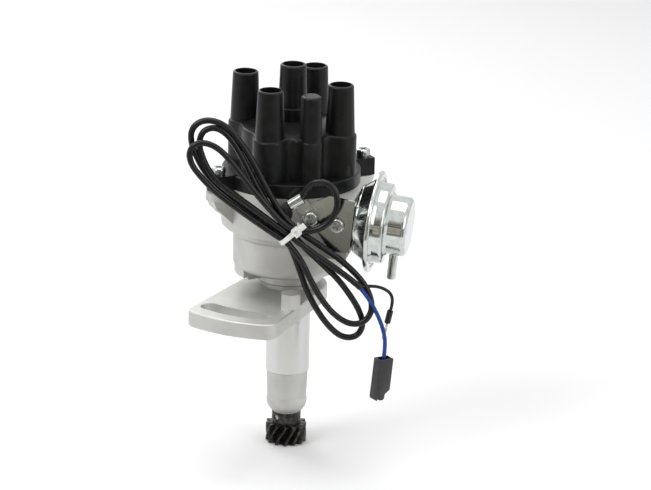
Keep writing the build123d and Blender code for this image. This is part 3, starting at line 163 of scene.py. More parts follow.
# ---------------------------------------------------------------- sizes and colours
class CameraSettings(bpy.types.PropertyGroup):
    distance: bpy.props.FloatProperty(
        name="Distance", description="Camera to the object's middle", default=2.8, unit="LENGTH")
    azimuth: bpy.props.FloatProperty(
        name="Azimuth", description="Direction that the camera stands in, from +X", default=-79.0)
    elevation: bpy.props.FloatProperty(
        name="Elevation", description="Height of the view above the horizon, in degrees", default=17.3)
    roll: bpy.props.FloatProperty(
        name="Roll", description="Turn of the view about its axis, in degrees", default=1.2)
    target_height: bpy.props.FloatProperty(
        name="Target height", description="Height of the aimed point on the shaft axis",
        default=0.0605, unit="LENGTH")
    focal_px: bpy.props.FloatProperty(
        name="Focal length", description="Focal length in pixels of the frame", default=4508.0)
    frame_width: bpy.props.IntProperty(
        name="Frame width", description="Width of the picture in pixels", default=651)
    frame_height: bpy.props.IntProperty(
        name="Frame height", description="Height of the picture in pixels", default=490)
    target_column: bpy.props.FloatProperty(
        name="Target column", description="Pixel column at which the aimed point is seen", default=290.6)
    target_row: bpy.props.FloatProperty(
        name="Target row", description="Pixel row, from the top, at which the aimed point is seen",
        default=205.0)


class FinishSettings(bpy.types.PropertyGroup):
    casting: bpy.props.StringProperty(
        name="Casting", description="Colour of the cast aluminium", default="#C6C6C3")
    cap: bpy.props.StringProperty(
        name="Cap", description="Colour of the phenolic cap", default="#0D0E0E")
    zinc: bpy.props.StringProperty(
        name="Zinc", description="Colour of the bright zinc plating", default="#CDD2D0")
    blue: bpy.props.StringProperty(
        name="Blue lead", description="Colour of the blue insulation", default="#003A8C")
    sleeve: bpy.props.StringProperty(
        name="Lead sleeve", description="Colour of the lead's outer sleeve", default="#101011")


class CapSettings(bpy.types.PropertyGroup):
    """Sizes of the cap's outside, in millimetres."""
    wall_radius: bpy.props.FloatProperty(
        name="Wall radius", description="Outside of the cap's wall between the towers", default=31.6)
    column_circle: bpy.props.FloatProperty(
        name="Column circle", description="Radius on which the four columns stand", default=32.4)
    column_radius: bpy.props.FloatProperty(
        name="Column radius", description="Radius of each column under its tower", default=10.3)
    post_reach: bpy.props.FloatProperty(
        name="Post reach", description="Outer face of the solid post from the shaft axis", default=40.15)
    post_width: bpy.props.FloatProperty(
        name="Post width", description="Width of the solid post across its radius", default=13.1)
    shelf_height: bpy.props.FloatProperty(
        name="Shelf height", description="Top of the cap's base ring", default=86.0)
    rim_height: bpy.props.FloatProperty(
        name="Rim height", description="Edge of the roof above the wall", default=111.9)
    rim_round: bpy.props.FloatProperty(
        name="Rim rounding", description="Radius of the edge between wall and roof", default=1.7)


class TieSettings(bpy.types.PropertyGroup):
    """Sizes of the cable tie, in millimetres."""
    loop_width: bpy.props.FloatProperty(
        name="Loop width", description="Strap's loop from front to back, outside", default=12.6)
    loop_length: bpy.props.FloatProperty(
        name="Loop length", description="Strap's loop across the hank, outside", default=16.2)
    strap_width: bpy.props.FloatProperty(
        name="Strap width", description="Width of the cable tie's strap", default=3.0)
    strap_thickness: bpy.props.FloatProperty(
        name="Strap thickness", description="Thickness of the cable tie's strap", default=1.1)
    bend: bpy.props.FloatProperty(
        name="Strap bend", description="Radius over which the strap turns its corners", default=4.2)
    head_width: bpy.props.FloatProperty(
        name="Head width", description="Width of the cable tie's ratchet head", default=5.6)
    lean: bpy.props.FloatProperty(
        name="Lean", description="Turn of the front run from straight down, in degrees", default=48.0)
    height: bpy.props.FloatProperty(
        name="Height", description="Height of the tie's middle", default=59.0)


class ConnectorSettings(bpy.types.PropertyGroup):
    """Sizes of the connector, in millimetres."""
    depth: bpy.props.FloatProperty(
        name="Depth", description="Connector's size from front to back", default=6.5)
    edge: bpy.props.FloatProperty(
        name="Edge", description="Rounding of the moulding's edges", default=0.4)
    wall: bpy.props.FloatProperty(
        name="Wall", description="Thickness left round the opening, past the rounded edge", default=0.5)
    pocket: bpy.props.FloatProperty(
        name="Pocket", description="Depth of the opening that takes the lead", default=5.0)


class LeadSettings(bpy.types.PropertyGroup):
    sleeve_diameter: bpy.props.FloatProperty(
        name="Sleeved lead", description="Outside diameter of the sleeved pickup lead",
        default=0.0039, unit="LENGTH")
    blue_diameter: bpy.props.FloatProperty(
        name="Blue lead", description="Outside diameter of the blue lead",
        default=0.0026, unit="LENGTH")
    black_diameter: bpy.props.FloatProperty(
        name="Black lead", description="Outside diameter of the black lead",
        default=0.0021, unit="LENGTH")
    hank_distance: bpy.props.FloatProperty(
        name="Hank distance", description="Middle of the tied hank from the shaft axis",
        default=0.0545, unit="LENGTH")


# ---------------------------------------------------------------- materials
BAND_TOP = -0.0002          # turned band of the shank: just under the plate,
BAND_FOOT = -0.0466         # down to the shoulder,
BAND_REACH = 0.01375        # and within this radius
RING_PITCH = 0.00035


def cast_aluminium():
    """Die-cast aluminium, shot-blasted: pale, matt and faintly pitted.  The shank's fitted band is
    turned on a lathe, so it is brighter and carries fine rings."""
    material, tree = new_material("die_cast_aluminium")
    coords = add(tree, "ShaderNodeTexCoord")
    place = add(tree, "ShaderNodeSeparateXYZ", {"Vector": coords.outputs["Object"]})
    # Blast pits about 0.7 mm apart, and cloudy patches about 14 mm across
    pits = add(tree, "ShaderNodeTexNoise",
               {"Vector": coords.outputs["Object"], "Scale": 1400.0, "Detail": 4.0})
    clouds = add(tree, "ShaderNodeTexNoise",
                 {"Vector": coords.outputs["Object"], "Scale": 70.0, "Detail": 5.0})
    cloud_colour = add(tree, "ShaderNodeValToRGB", {"Fac": clouds.outputs["Fac"]})
    cloud_colour.color_ramp.elements[0].color = linear("#BDBDBA")
    cloud_colour.color_ramp.elements[0].position = 0.3
    cloud_colour.color_ramp.elements[1].color = linear(bpy.context.scene.distributor_finish.casting)
    cloud_colour.color_ramp.elements[1].position = 0.62
    # 1 on the turned band, 0 elsewhere
    below = add(tree, "ShaderNodeMath", {0: place.outputs["Z"], 1: BAND_TOP}, operation="LESS_THAN")
    above = add(tree, "ShaderNodeMath", {0: place.outputs["Z"], 1: BAND_FOOT}, operation="GREATER_THAN")
    flat = add(tree, "ShaderNodeVectorMath", {0: coords.outputs["Object"], 1: (1, 1, 0)},
               operation="MULTIPLY")
    reach = add(tree, "ShaderNodeVectorMath", {0: flat.outputs["Vector"]}, operation="LENGTH")
    near = add(tree, "ShaderNodeMath", {0: reach.outputs["Value"], 1: BAND_REACH}, operation="LESS_THAN")
    band = add(tree, "ShaderNodeMath", {0: below.outputs[0], 1: above.outputs[0]}, operation="MULTIPLY")
    band = add(tree, "ShaderNodeMath", {0: band.outputs[0], 1: near.outputs[0]}, operation="MULTIPLY")
    # Tool rings up the band
    rings = add(tree, "ShaderNodeMath", {0: place.outputs["Z"], 1: 2 * math.pi / RING_PITCH},
                operation="MULTIPLY")
    rings = add(tree, "ShaderNodeMath", {0: rings.outputs[0]}, operation="SINE")
    colour = add(tree, "ShaderNodeMix", {"Factor": band.outputs[0], 6: cloud_colour.outputs["Color"],
                                         7: linear("#CECECC")}, data_type="RGBA")
    rough = add(tree, "ShaderNodeMapRange",
                {"Value": clouds.outputs["Fac"], "To Min": 0.58, "To Max": 0.5})
    rough = add(tree, "ShaderNodeMix", {"Factor": band.outputs[0], 2: rough.outputs["Result"], 3: 0.3},
                data_type="FLOAT")
    height = add(tree, "ShaderNodeMix", {"Factor": band.outputs[0], 2: pits.outputs["Fac"],
                                         3: rings.outputs[0]}, data_type="FLOAT")
    strength = add(tree, "ShaderNodeMix", {"Factor": band.outputs[0], 2: 0.5, 3: 0.08}, data_type="FLOAT")
    bump = add(tree, "ShaderNodeBump", {"Height": height.outputs[0], "Strength": strength.outputs[0],
                                        "Distance": 0.00012})
    shader = add(tree, "ShaderNodeBsdfPrincipled", {
        "Base Color": colour.outputs[2], "Metallic": 0.82, "Roughness": rough.outputs[0],
        "Normal": bump.outputs["Normal"]})
    close_material(tree, shader.outputs[0])
    return material


def grained(name, base, other, grains, roughness, metallic=0.0, bump_depth=0.00005, strength=0.3,
            rough_swing=0.08, **sockets):
    """A finish whose colour and roughness drift between two close tones, over a grain of so many
    patches a metre: 500 are 2 mm apart.  Further names are the shader's own sockets."""
    material, tree = new_material(name)
    coords = add(tree, "ShaderNodeTexCoord")
    grain = add(tree, "ShaderNodeTexNoise",
                {"Vector": coords.outputs["Object"], "Scale": grains, "Detail": 4.0})
    ramp = add(tree, "ShaderNodeValToRGB", {"Fac": grain.outputs["Fac"]})
    ramp.color_ramp.elements[0].position = 0.35
    ramp.color_ramp.elements[1].position = 0.65
    ramp.color_ramp.elements[0].color = linear(other)
    ramp.color_ramp.elements[1].color = linear(base)
    rough = add(tree, "ShaderNodeMapRange", {
        "Value": grain.outputs["Fac"], "From Min": 0.3, "From Max": 0.7,
        "To Min": roughness + rough_swing, "To Max": roughness - rough_swing})
    bump = add(tree, "ShaderNodeBump", {"Height": grain.outputs["Fac"], "Strength": strength,
                                        "Distance": bump_depth})
    shader = add(tree, "ShaderNodeBsdfPrincipled", {
        "Base Color": ramp.outputs["Color"], "Metallic": metallic, "Roughness": rough.outputs["Result"],
        "Normal": bump.outputs["Normal"], **sockets})
    close_material(tree, shader.outputs[0])
    return material


def moulded_materials(finish):
    """Plastics, rubber and other moulded or extruded stuff."""
    return {
        # Compression-moulded phenolic: near black, a satin skin with faint flow marks 6 mm apart
        "cap_moulding": grained("moulded_phenolic", finish.cap, "#151617", 160, 0.36, strength=0.2,
                                rough_swing=0.04, **{"Specular IOR Level": 0.22}),
        # Phenolic with a mineral filler, which leaves it brown and a little dull
        "rotor_moulding": grained("brown_phenolic", "#6E4326", "#573319", 300, 0.45, 0.0, 0.00003),
        # Pressed carbon powder: dark grey, dull, with a fine grain
        "carbon": grained("pressed_carbon", "#2A2A2B", "#1D1D1E", 700, 0.6, 0.0, 0.00003),
        # Black nylon coil former: smooth, half gloss
        "coil_plastic": grained("coil_former_nylon", "#262627", "#1C1C1D", 300, 0.45, 0.0, 0.00003),
        # Sintered ferrite: dark and stony
        "magnet": grained("sintered_ferrite", "#3A3836", "#2C2A29", 600, 0.6, 0.2, 0.00004, 0.4),
        # Moulded nitrile rubber: matt, with a slight bloom
        "seal_rubber": grained("moulded_nitrile", "#1C1C1D", "#262627", 400, 0.62, 0.0, 0.00005, 0.4),
        # Vulcanised paper fibre: tan, matt, with fibres showing
        "fibre": grained("vulcanised_fibre", "#A27B50", "#8A6540", 500, 0.6, 0.0, 0.00004, 0.4),
        # Extruded PVC sleeve: smooth, with the slight sheen of handling
        "lead_sleeve": grained("black_pvc_sleeve", finish.sleeve, "#171718", 260, 0.27, 0.0, 0.00003,
                               0.15, rough_swing=0.04, **{"Specular IOR Level": 0.3}),
        # Extruded PVC insulation in deep blue, a little glossier where it has been handled
        "blue_wire": grained("blue_pvc_insulation", finish.blue, "#002E74", 300, 0.34, 0.0, 0.00003,
                             0.2, **{"Specular IOR Level": 0.35}),
        # Injection-moulded nylon: black, half gloss, with a fine spark-eroded grain
        "connector": grained("black_nylon_moulding", "#1A1A1B", "#242425", 300, 0.4, 0.0, 0.00004),
        # Natural nylon: milky, and light sinks a millimetre into it
        "nylon_tie": grained("natural_nylon", "#E2E2DF", "#D2D2CE", 300, 0.36, 0.0, 0.00003, 0.2,
                             **{"Subsurface Weight": 0.15, "Subsurface Scale": 0.001}),
    }


def metal_materials(finish):
    """Plated, ground, pressed and turned metals."""
    return {
        # Bright zinc on drawn sheet: a fine spangle, soft-edged reflections
        "zinc_plate": grained("bright_zinc_plate", finish.zinc, "#BCC0BD", 260, 0.12, 1.0, 0.00003,
                              0.12, rough_swing=0.03),
        # Barrel-plated screw steel: bright, dulled a little by tumbling
        "plated_screw": grained("plated_screw_steel", "#C4C8C8", "#A4A8A8", 900, 0.24, 1.0, 0.00003),
        # Hardened gear with a dark oil film
        "oiled_steel": grained("oiled_gear_steel", "#4C4A46", "#2C2B29", 420, 0.34, 0.95, 0.00004,
                               0.35),
        # Ground shaft steel: even and fairly bright
        "ground_steel": grained("ground_steel", "#AEAEAC", "#8E8E8B", 500, 0.3, 1.0, 0.00002),
        # Cold-rolled sheet, pressed and degreased: warm grey, half matt
        "mild_steel": grained("pressed_mild_steel", "#B9B4AA", "#A09A90", 220, 0.36, 0.6, 0.00003),
        # Drawn spring wire: darker, with a thin oxide
        "spring_steel": grained("spring_steel_wire", "#8B8B8A", "#6A6A69", 500, 0.32, 1.0, 0.00002),
        # Oil-filled sintered bronze: brown-gold, open-pored
        "sintered_bronze": grained("sintered_bronze", "#A88457", "#7E6140", 900, 0.5, 0.9, 0.00005,
                                   0.5),
        # Turned brass: yellow and bright, slightly tarnished in patches
        "brass": grained("turned_brass", "#C9A45C", "#A8843F", 350, 0.3, 1.0, 0.00002),
        # Tin on copper strip: white, soft-looking
        "tinned": grained("tinned_copper", "#C9CCCD", "#A6A9AA", 500, 0.3, 1.0, 0.00003),
    }


def make_materials():
    """One material for each of the record's slots."""
    finish = bpy.context.scene.distributor_finish
    return {"cast_housing": cast_aluminium(), **moulded_materials(finish), **metal_materials(finish)}


MATERIALS = {}


# ---------------------------------------------------------------- stage
# Name, then metres towards the camera, across and above the aimed point, then size and watts
SOFTBOXES = (
    ("key_softbox", 0.75, -0.95, 1.05, 0.8, 11.0),
    ("fill_softbox", 0.95, 1.05, 0.45, 0.9, 5.0),
    ("top_softbox", -0.15, 0.1, 1.35, 0.9, 8.0),
    ("back_softbox", -1.1, -0.5, 0.7, 0.8, 5.0),
)
FLOOR_SIZE = 12.0
ROOM_RADIUS = 3.6
ROOM_HEIGHT = 2.4
ROOM_MIDDLE = 1.1           # height of the dark wall's middle
ROOM_SPREAD = 58.0          # the dark end reaches this many degrees to each side of the camera
CLEAR_FLOOR = 0.38          # radius of the floor left white round the object
SENSOR_WIDTH = 36.0


def add_floor(height):
    bpy.ops.object.select_all(action="DESELECT")
    bpy.ops.mesh.primitive_plane_add(size=FLOOR_SIZE, location=(0, 0, height))
    floor = bpy.context.object
    floor.name = "studio_floor"
    material, tree = new_material("matt_white_floor")
    shader = add(tree, "ShaderNodeBsdfDiffuse", {"Color": linear("#F6F6F6")})
    close_material(tree, shader.outputs[0])
    floor.data.materials.append(material)


def add_air():
    """Soft light from all round, and white behind the object, also in metal."""
    world = bpy.data.worlds.new("studio_air")
    bpy.context.scene.world = world
    world.use_nodes = True
    tree = world.node_tree
    tree.nodes.clear()
    path = add(tree, "ShaderNodeLightPath")
    shown = add(tree, "ShaderNodeMath", {0: path.outputs["Is Camera Ray"],
                                         1: path.outputs["Is Transmission Ray"]}, operation="MAXIMUM")
    shown = add(tree, "ShaderNodeMath", {0: shown.outputs[0], 1: path.outputs["Is Glossy Ray"]},
                operation="MAXIMUM")
    air = add(tree, "ShaderNodeBackground", {"Color": (0.9, 0.9, 0.9, 1), "Strength": 0.55})
    backdrop = add(tree, "ShaderNodeBackground", {"Color": (1, 1, 1, 1), "Strength": 1.0})
    mixed = add(tree, "ShaderNodeMixShader",
                {0: shown.outputs[0], 1: air.outputs[0], 2: backdrop.outputs[0]})
    add(tree, "ShaderNodeOutputWorld", {"Surface": mixed.outputs[0]})


def add_softboxes(target, view, side):
    for name, along, across, height, size, power in SOFTBOXES:
        light = bpy.data.lights.new(name, "AREA")
        light.shape = "SQUARE"
        light.size = size
        light.energy = power
        lamp = bpy.data.objects.new(name, light)
        bpy.context.scene.collection.objects.link(lamp)
        lamp.location = target + view * along + side * across + Vector((0, 0, height))
        lamp.rotation_euler = (target - lamp.location).to_track_quat("-Z", "Y").to_euler()


def dark_room_paint():
    """Paint that glows faintly, with clutter about 0.3 m across, which bright metal mirrors in bands."""
    material, tree = new_material("dark_room_paint")
    coords = add(tree, "ShaderNodeTexCoord")
    clutter = add(tree, "ShaderNodeTexNoise",
                  {"Vector": coords.outputs["Object"], "Scale": 3.2, "Detail": 2.0})
    tone = add(tree, "ShaderNodeValToRGB", {"Fac": clutter.outputs["Fac"]})
    tone.color_ramp.elements[0].position = 0.42
    tone.color_ramp.elements[1].position = 0.58
    tone.color_ramp.elements[0].color = linear("#4A453D")
    tone.color_ramp.elements[1].color = linear("#D9D4C8")
    shader = add(tree, "ShaderNodeEmission", {"Color": tone.outputs["Color"], "Strength": 1.0})
    close_material(tree, shader.outputs[0])
    return material


def cut_to_dark_end(view):
    """In edit mode, deletes the faces that lie outside the dark end of the room."""
    edge = math.cos(math.radians(ROOM_SPREAD))
    pick_faces(lambda centre, normal: Vector((centre.x, centre.y, 0)).normalized().dot(view) < edge)
    bpy.ops.mesh.delete(type="FACE")
    bpy.ops.object.mode_set(mode="OBJECT")


def add_dark_room(floor_height, view):
    """The dark end of the room behind the camera, wall and floor: only mirrors see it."""
    bpy.ops.object.select_all(action="DESELECT")
    bpy.ops.mesh.primitive_cylinder_add(vertices=48, radius=ROOM_RADIUS, depth=ROOM_HEIGHT,
                                        end_fill_type="NOTHING", location=(0, 0, ROOM_MIDDLE))
    room = bpy.context.object
    room.name = "dark_room_end"
    bpy.ops.object.mode_set(mode="EDIT")
    cut_to_dark_end(view)
    ground_radius = ROOM_RADIUS - 0.05
    bpy.ops.object.select_all(action="DESELECT")
    bpy.ops.mesh.primitive_circle_add(vertices=48, radius=ground_radius, fill_type="NGON",
                                      location=(0, 0, floor_height + 0.001))
    ground = bpy.context.object
    bpy.ops.object.mode_set(mode="EDIT")
    bpy.ops.mesh.select_all(action="SELECT")
    bpy.ops.mesh.inset(thickness=ground_radius - CLEAR_FLOOR)
    bpy.ops.mesh.delete(type="FACE")
    cut_to_dark_end(view)
    only(room)
    ground.select_set(True)
    bpy.ops.object.join()
    room.data.materials.append(dark_room_paint())
    room.visible_camera = room.visible_diffuse = room.visible_shadow = False


def add_camera(settings, target, view):
    """A long lens, turned so that the aimed point lies left of and above the frame's middle."""
    raised = math.radians(settings.elevation)
    camera_data = bpy.data.cameras.new("camera")
    camera = bpy.data.objects.new("camera", camera_data)
    bpy.context.scene.collection.objects.link(camera)
    camera_data.sensor_width = SENSOR_WIDTH
    camera_data.lens = settings.focal_px * SENSOR_WIDTH / settings.frame_width
    away = view * math.cos(raised) + Vector((0, 0, math.sin(raised)))
    camera.location = target + away * settings.distance
    look = (target - camera.location).normalized()
    right = look.cross(Vector((0, 0, 1))).normalized()
    up = right.cross(look)
    turn = math.radians(settings.roll)
    right, up = (right * math.cos(turn) + up * math.sin(turn),
                 up * math.cos(turn) - right * math.sin(turn))
    seen_at = Vector((settings.target_column - settings.frame_width / 2,
                      settings.frame_height / 2 - settings.target_row, -settings.focal_px)).normalized()
    axes = Matrix((right, up, -look)).transposed()
    swing = seen_at.rotation_difference(Vector((0, 0, -1))).to_matrix()
    camera.rotation_mode = "QUATERNION"
    camera.rotation_quaternion = (axes @ swing).to_quaternion()
    camera_data.clip_start = 0.1
    camera_data.clip_end = 20
    bpy.context.scene.camera = camera


class DISTRIBUTOR_OT_stage(bpy.types.Operator):
    """Floor, backdrop, lights and the camera"""
    bl_idname = "distributor.stage"
    bl_label = "Stage"

    def execute(self, context):
        settings = context.scene.distributor_camera
        floor_height = box_at_load[0][2] - 0.0002
        facing = math.radians(settings.azimuth)
        view = Vector((math.cos(facing), math.sin(facing), 0))
        side = Vector((-view.y, view.x, 0))
        target = Vector((0, 0, settings.target_height))
        add_floor(floor_height)
        add_air()
        add_softboxes(target, view, side)
        add_dark_room(floor_height, view)
        add_camera(settings, target, view)
        context.scene.view_settings.view_transform = "Standard"
        return {"FINISHED"}


# ---------------------------------------------------------------- cap
# Degrees and millimetres
TOWER_AZIMUTHS = (-13.7, 76.3, 166.3, 256.3)
POST_AZIMUTH = -58.7
POST_CORNER = 5.4
COLLAR_RADIUS = 11.0
ROOF_FOOT_RADIUS, ROOF_FOOT_HEIGHT = 24.0, 114.1
ROOF_TOP = 117.75
BLEND = 6.0                 # reach of the soft corner between the wall and what stands out of it
FURTHEST_WALL = 50.0        # no part of the outline reaches this radius
OUTLINE_POINTS = 288
SHELF_LAP = 0.2             # the wall starts this far below the shelf
CROWN_THICKNESS = 0.8


def wall_distance(place, cap):
    """Distance in millimetres from the cap's outline, negative inside, with soft inner corners."""
    near = place.length - cap.wall_radius
    solids = [(place - polar(cap.column_circle, azimuth).xy / MM).length - cap.column_radius
              for azimuth in TOWER_AZIMUTHS]
    along = polar(1, POST_AZIMUTH).xy / MM
    across = polar(1, POST_AZIMUTH + 90).xy / MM
    if place.dot(along) > 0:
        beyond = Vector((max(place.dot(along) - cap.post_reach + POST_CORNER, 0.0),
                         max(abs(place.dot(across)) - cap.post_width / 2 + POST_CORNER, 0.0)))
        solids.append(beyond.length - POST_CORNER)
    for far in solids:
        share = max(BLEND - abs(near - far), 0.0) / BLEND
        near = min(near, far) - share * share * BLEND / 4
    return near


def wall_reach(azimuth, cap):
    """Radius in millimetres at which a ray from the shaft axis leaves the cap's outline."""
    ray = polar(1, azimuth).xy / MM
    low, high = cap.wall_radius - 4.0, FURTHEST_WALL
    for _ in range(24):                     # halved until the step is far below a micrometre
        middle = (low + high) / 2
        if wall_distance(ray * middle, cap) < 0:
            low = middle
        else:
            high = middle
    return low


class DISTRIBUTOR_OT_cap_crown(bpy.types.Operator):
    """Outer wall of the cap with its columns, and the roof with its rounded rim"""
    bl_idname = "distributor.cap_crown"
    bl_label = "Cap wall and roof"

    def execute(self, context):
        cap = context.scene.distributor_cap
        bpy.ops.object.select_all(action="DESELECT")
        bpy.ops.mesh.primitive_circle_add(vertices=OUTLINE_POINTS, radius=cap.wall_radius * MM,
                                          fill_type="NOTHING")
        crown = context.object
        mesh = crown.data
        for vertex in mesh.vertices:
            azimuth = math.degrees(math.atan2(vertex.co.y, vertex.co.x))
            vertex.co = polar(wall_reach(azimuth, cap), azimuth, cap.shelf_height - SHELF_LAP)
        bpy.ops.object.mode_set(mode="EDIT")
        bpy.ops.mesh.select_mode(type="VERT")
        bpy.ops.mesh.select_all(action="SELECT")
        bpy.ops.object.mode_set(mode="OBJECT")
        # Wall up to the rim, then the roof in two steps towards the collar
        for radius, height in ((None, cap.rim_height), (ROOF_FOOT_RADIUS, ROOF_FOOT_HEIGHT),
                               (COLLAR_RADIUS, ROOF_TOP)):
            bpy.ops.object.mode_set(mode="EDIT")
            bpy.ops.mesh.extrude_region_move()
            bpy.ops.object.mode_set(mode="OBJECT")
            for vertex in mesh.vertices:
                if vertex.select:
                    vertex.co.z = height * MM
                    if radius:
                        vertex.co.xy = vertex.co.xy.normalized() * radius * MM
        bpy.ops.object.mode_set(mode="EDIT")
        bpy.ops.mesh.select_mode(type="EDGE")
        bpy.ops.mesh.select_all(action="DESELECT")
        bpy.ops.object.mode_set(mode="OBJECT")
        rim = cap.rim_height * MM
        for edge in mesh.edges:
            edge.select = all(abs(mesh.vertices[i].co.z - rim) < 1e-6 for i in edge.vertices)
        bpy.ops.object.mode_set(mode="EDIT")
        bpy.ops.mesh.bevel(offset=cap.rim_round * MM, segments=5, profile=0.5)
        bpy.ops.mesh.select_all(action="SELECT")
        bpy.ops.mesh.normals_make_consistent(inside=False)
        bpy.ops.object.mode_set(mode="OBJECT")
        finish_with(crown, "SOLIDIFY", thickness=CROWN_THICKNESS * MM, offset=-1.0)
        only(crown)
        bpy.ops.object.shade_smooth_by_angle(angle=math.radians(32))
        settle(crown, "cap_wall_and_roof")
        dress(crown, MATERIALS["cap_moulding"], "housing_body", "cap_moulding")
        return {"FINISHED"}


# ---------------------------------------------------------------- leads
def lead_curve(name, points, diameter):
    """A lead as one smooth NURBS curve through the run of its control points."""
    curve = bpy.data.curves.new(name, "CURVE")
    curve.dimensions = "3D"
    curve.bevel_depth = diameter / 2
    curve.bevel_resolution = 4
    curve.resolution_u = 8
    curve.use_fill_caps = True
    spline = curve.splines.new("NURBS")
    spline.points.add(len(points) - 1)
    for point, place in zip(spline.points, points):
        point.co = (*place, 1.0)
    spline.order_u = 3
    spline.use_endpoint_u = True
    lead = bpy.data.objects.new(name, curve)
    bpy.context.scene.collection.objects.link(lead)
    return lead


def spline_length(lead):
    """Length of a curve's own line."""
    flat = lead.data.copy()
    flat.bevel_depth = 0
    probe = bpy.data.objects.new("probe", flat)
    bpy.context.scene.collection.objects.link(probe)
    bpy.context.view_layer.update()
    mesh = bpy.data.meshes.new_from_object(probe.evaluated_get(bpy.context.evaluated_depsgraph_get()))
    ends = [v.co.copy() for v in mesh.vertices]
    length = sum((ends[e.vertices[1]] - ends[e.vertices[0]]).length for e in mesh.edges)
    bpy.data.objects.remove(probe)
    bpy.data.meshes.remove(mesh)
    bpy.data.curves.remove(flat)
    return length


HANK_FACING = -79.0         # the hank hangs flat, facing this way


def hank_point(across, forward, height):
    """A point of the tied hank: millimetres across it, forward of its middle, and up."""
    distance = bpy.context.scene.distributor_leads.hank_distance
    outward = polar(1, HANK_FACING) / MM
    sideways = polar(1, HANK_FACING + 90) / MM
    flat = outward * (distance + forward * MM) + sideways * across * MM
    return flat + Vector((0, 0, height * MM))


# From the grommet up through the clip and once round clockwise, in millimetres
LOOP_ROUTE = (
    (8.4, -46.4, 74.9), (13.6, -46.6, 79.0), (18.2, -47.2, 84.9), (22.4, -48.4, 91.8),
    (31.0, -49.2, 92.8), (37.6, -49.6, 87.4), (39.0, -49.8, 78.4), (36.2, -50.0, 69.6),
    (29.6, -50.8, 63.4), (21.6, -51.8, 61.0), (14.8, -52.8, 60.6),
)
# Through the tie and round each end of the hank in turn: across, forward, up
HANK_ROUTE = (
    # middle turn of the upper end, in front
    (2.2, 2.1, 61.6), (-4.4, 2.1, 66.0), (-11.2, 2.3, 73.4), (-19.9, 2.6, 83.6), (-28.6, 2.8, 94.9),
    (-36.6, 2.9, 105.2), (-44.0, 2.9, 113.2), (-52.4, 2.9, 117.0), (-59.4, 2.9, 115.5),
    (-62.4, 2.8, 109.4), (-60.4, 2.6, 102.0), (-54.1, 2.4, 94.0), (-45.5, 2.2, 85.0),
    (-33.2, 2.1, 75.7), (-19.6, 2.1, 66.0), (-8.5, 2.1, 58.5), (-2.2, 2.1, 54.6),
    # inner turn of the lower end, in front
    (1.4, 2.1, 50.6), (7.7, 2.1, 41.9), (13.4, 2.2, 29.8), (19.8, 2.4, 18.4), (28.0, 2.6, 8.4),
    (37.6, 2.8, 2.4), (46.4, 2.7, 3.6), (51.2, 2.2, 10.6), (50.6, 0.6, 18.6), (46.6, -1.6, 26.8),
    (40.3, -2.3, 34.0), (31.5, -2.3, 42.2), (20.9, -2.2, 49.7), (10.4, -2.1, 56.6), (2.2, -2.1, 62.9),
    # outer turn of the upper end, behind
    (-3.0, -2.1, 68.2), (-8.9, -2.2, 76.3), (-15.6, -2.4, 88.4), (-22.8, -2.6, 102.6),
    (-30.3, -2.8, 114.8), (-38.6, -2.9, 124.8), (-47.6, -2.9, 129.4), (-56.2, -2.9, 128.6),
    (-61.2, -2.9, 123.0), (-61.2, -2.9, 115.4), (-58.4, -2.8, 107.6), (-53.6, -2.5, 98.0),
    (-46.0, -2.3, 89.2), (-34.0, -2.1, 79.4), (-20.0, -2.1, 69.0), (-8.0, -2.1, 59.6),
    (-2.2, -2.1, 54.6),
    # outer turn of the lower end, behind
    (1.6, -2.1, 48.0), (6.0, -2.1, 36.2), (10.5, -2.2, 23.1), (16.9, -2.3, 10.4), (25.1, -2.4, -1.2),
    (33.6, -2.5, -8.0), (42.2, -2.6, -7.4), (46.4, -2.7, 0.0), (43.6, -2.8, 9.9), (37.6, -2.7, 19.6),
    (30.0, -2.5, 29.9), (20.0, -2.3, 39.6), (10.0, -2.1, 49.0), (0.4, -2.1, 59.0),
    # inner turn of the upper end
    (-6.0, -2.1, 66.4), (-12.6, -2.2, 74.9), (-20.4, -2.2, 87.2), (-27.2, -2.3, 101.0),
    (-33.2, -2.4, 112.6), (-40.0, -2.6, 121.6), (-47.4, -2.6, 125.2), (-54.2, -2.6, 122.6),
    (-56.6, -2.5, 115.0), (-54.2, -1.6, 106.0), (-49.6, 0.2, 97.2), (-42.4, 1.4, 89.6),
    (-31.4, 2.0, 81.8), (-18.0, 2.1, 72.0), (-7.2, 2.1, 63.8), (0.0, 2.1, 58.4),
    # last run, over the turns of the lower end to where the sleeve stops
    (6.0, 2.1, 54.0), (13.6, 2.2, 48.2), (23.5, 2.4, 41.6), (31.6, 2.6, 36.0), (38.4, 2.9, 31.0),
    (43.8, 3.0, 26.4),
)
# From the sleeve's end down into the connector, in millimetres
BLUE_ROUTE = (
    (53.5, -47.4, 26.0), (57.3, -46.6, 21.5), (61.6, -45.8, 14.5), (65.4, -44.9, 6.8),
    (68.2, -43.6, -1.7), (69.5, -42.0, -11.0), (68.06, -41.35, -24.88),
)
# From the sleeve's end out, round and down to the crimp
BLACK_ROUTE = (
    (54.6, -44.9, 26.2), (60.4, -41.2, 26.0), (66.4, -38.6, 24.2), (71.4, -37.0, 20.4),
    (72.2, -36.0, 14.2), (70.7, -35.4, 8.9),
)


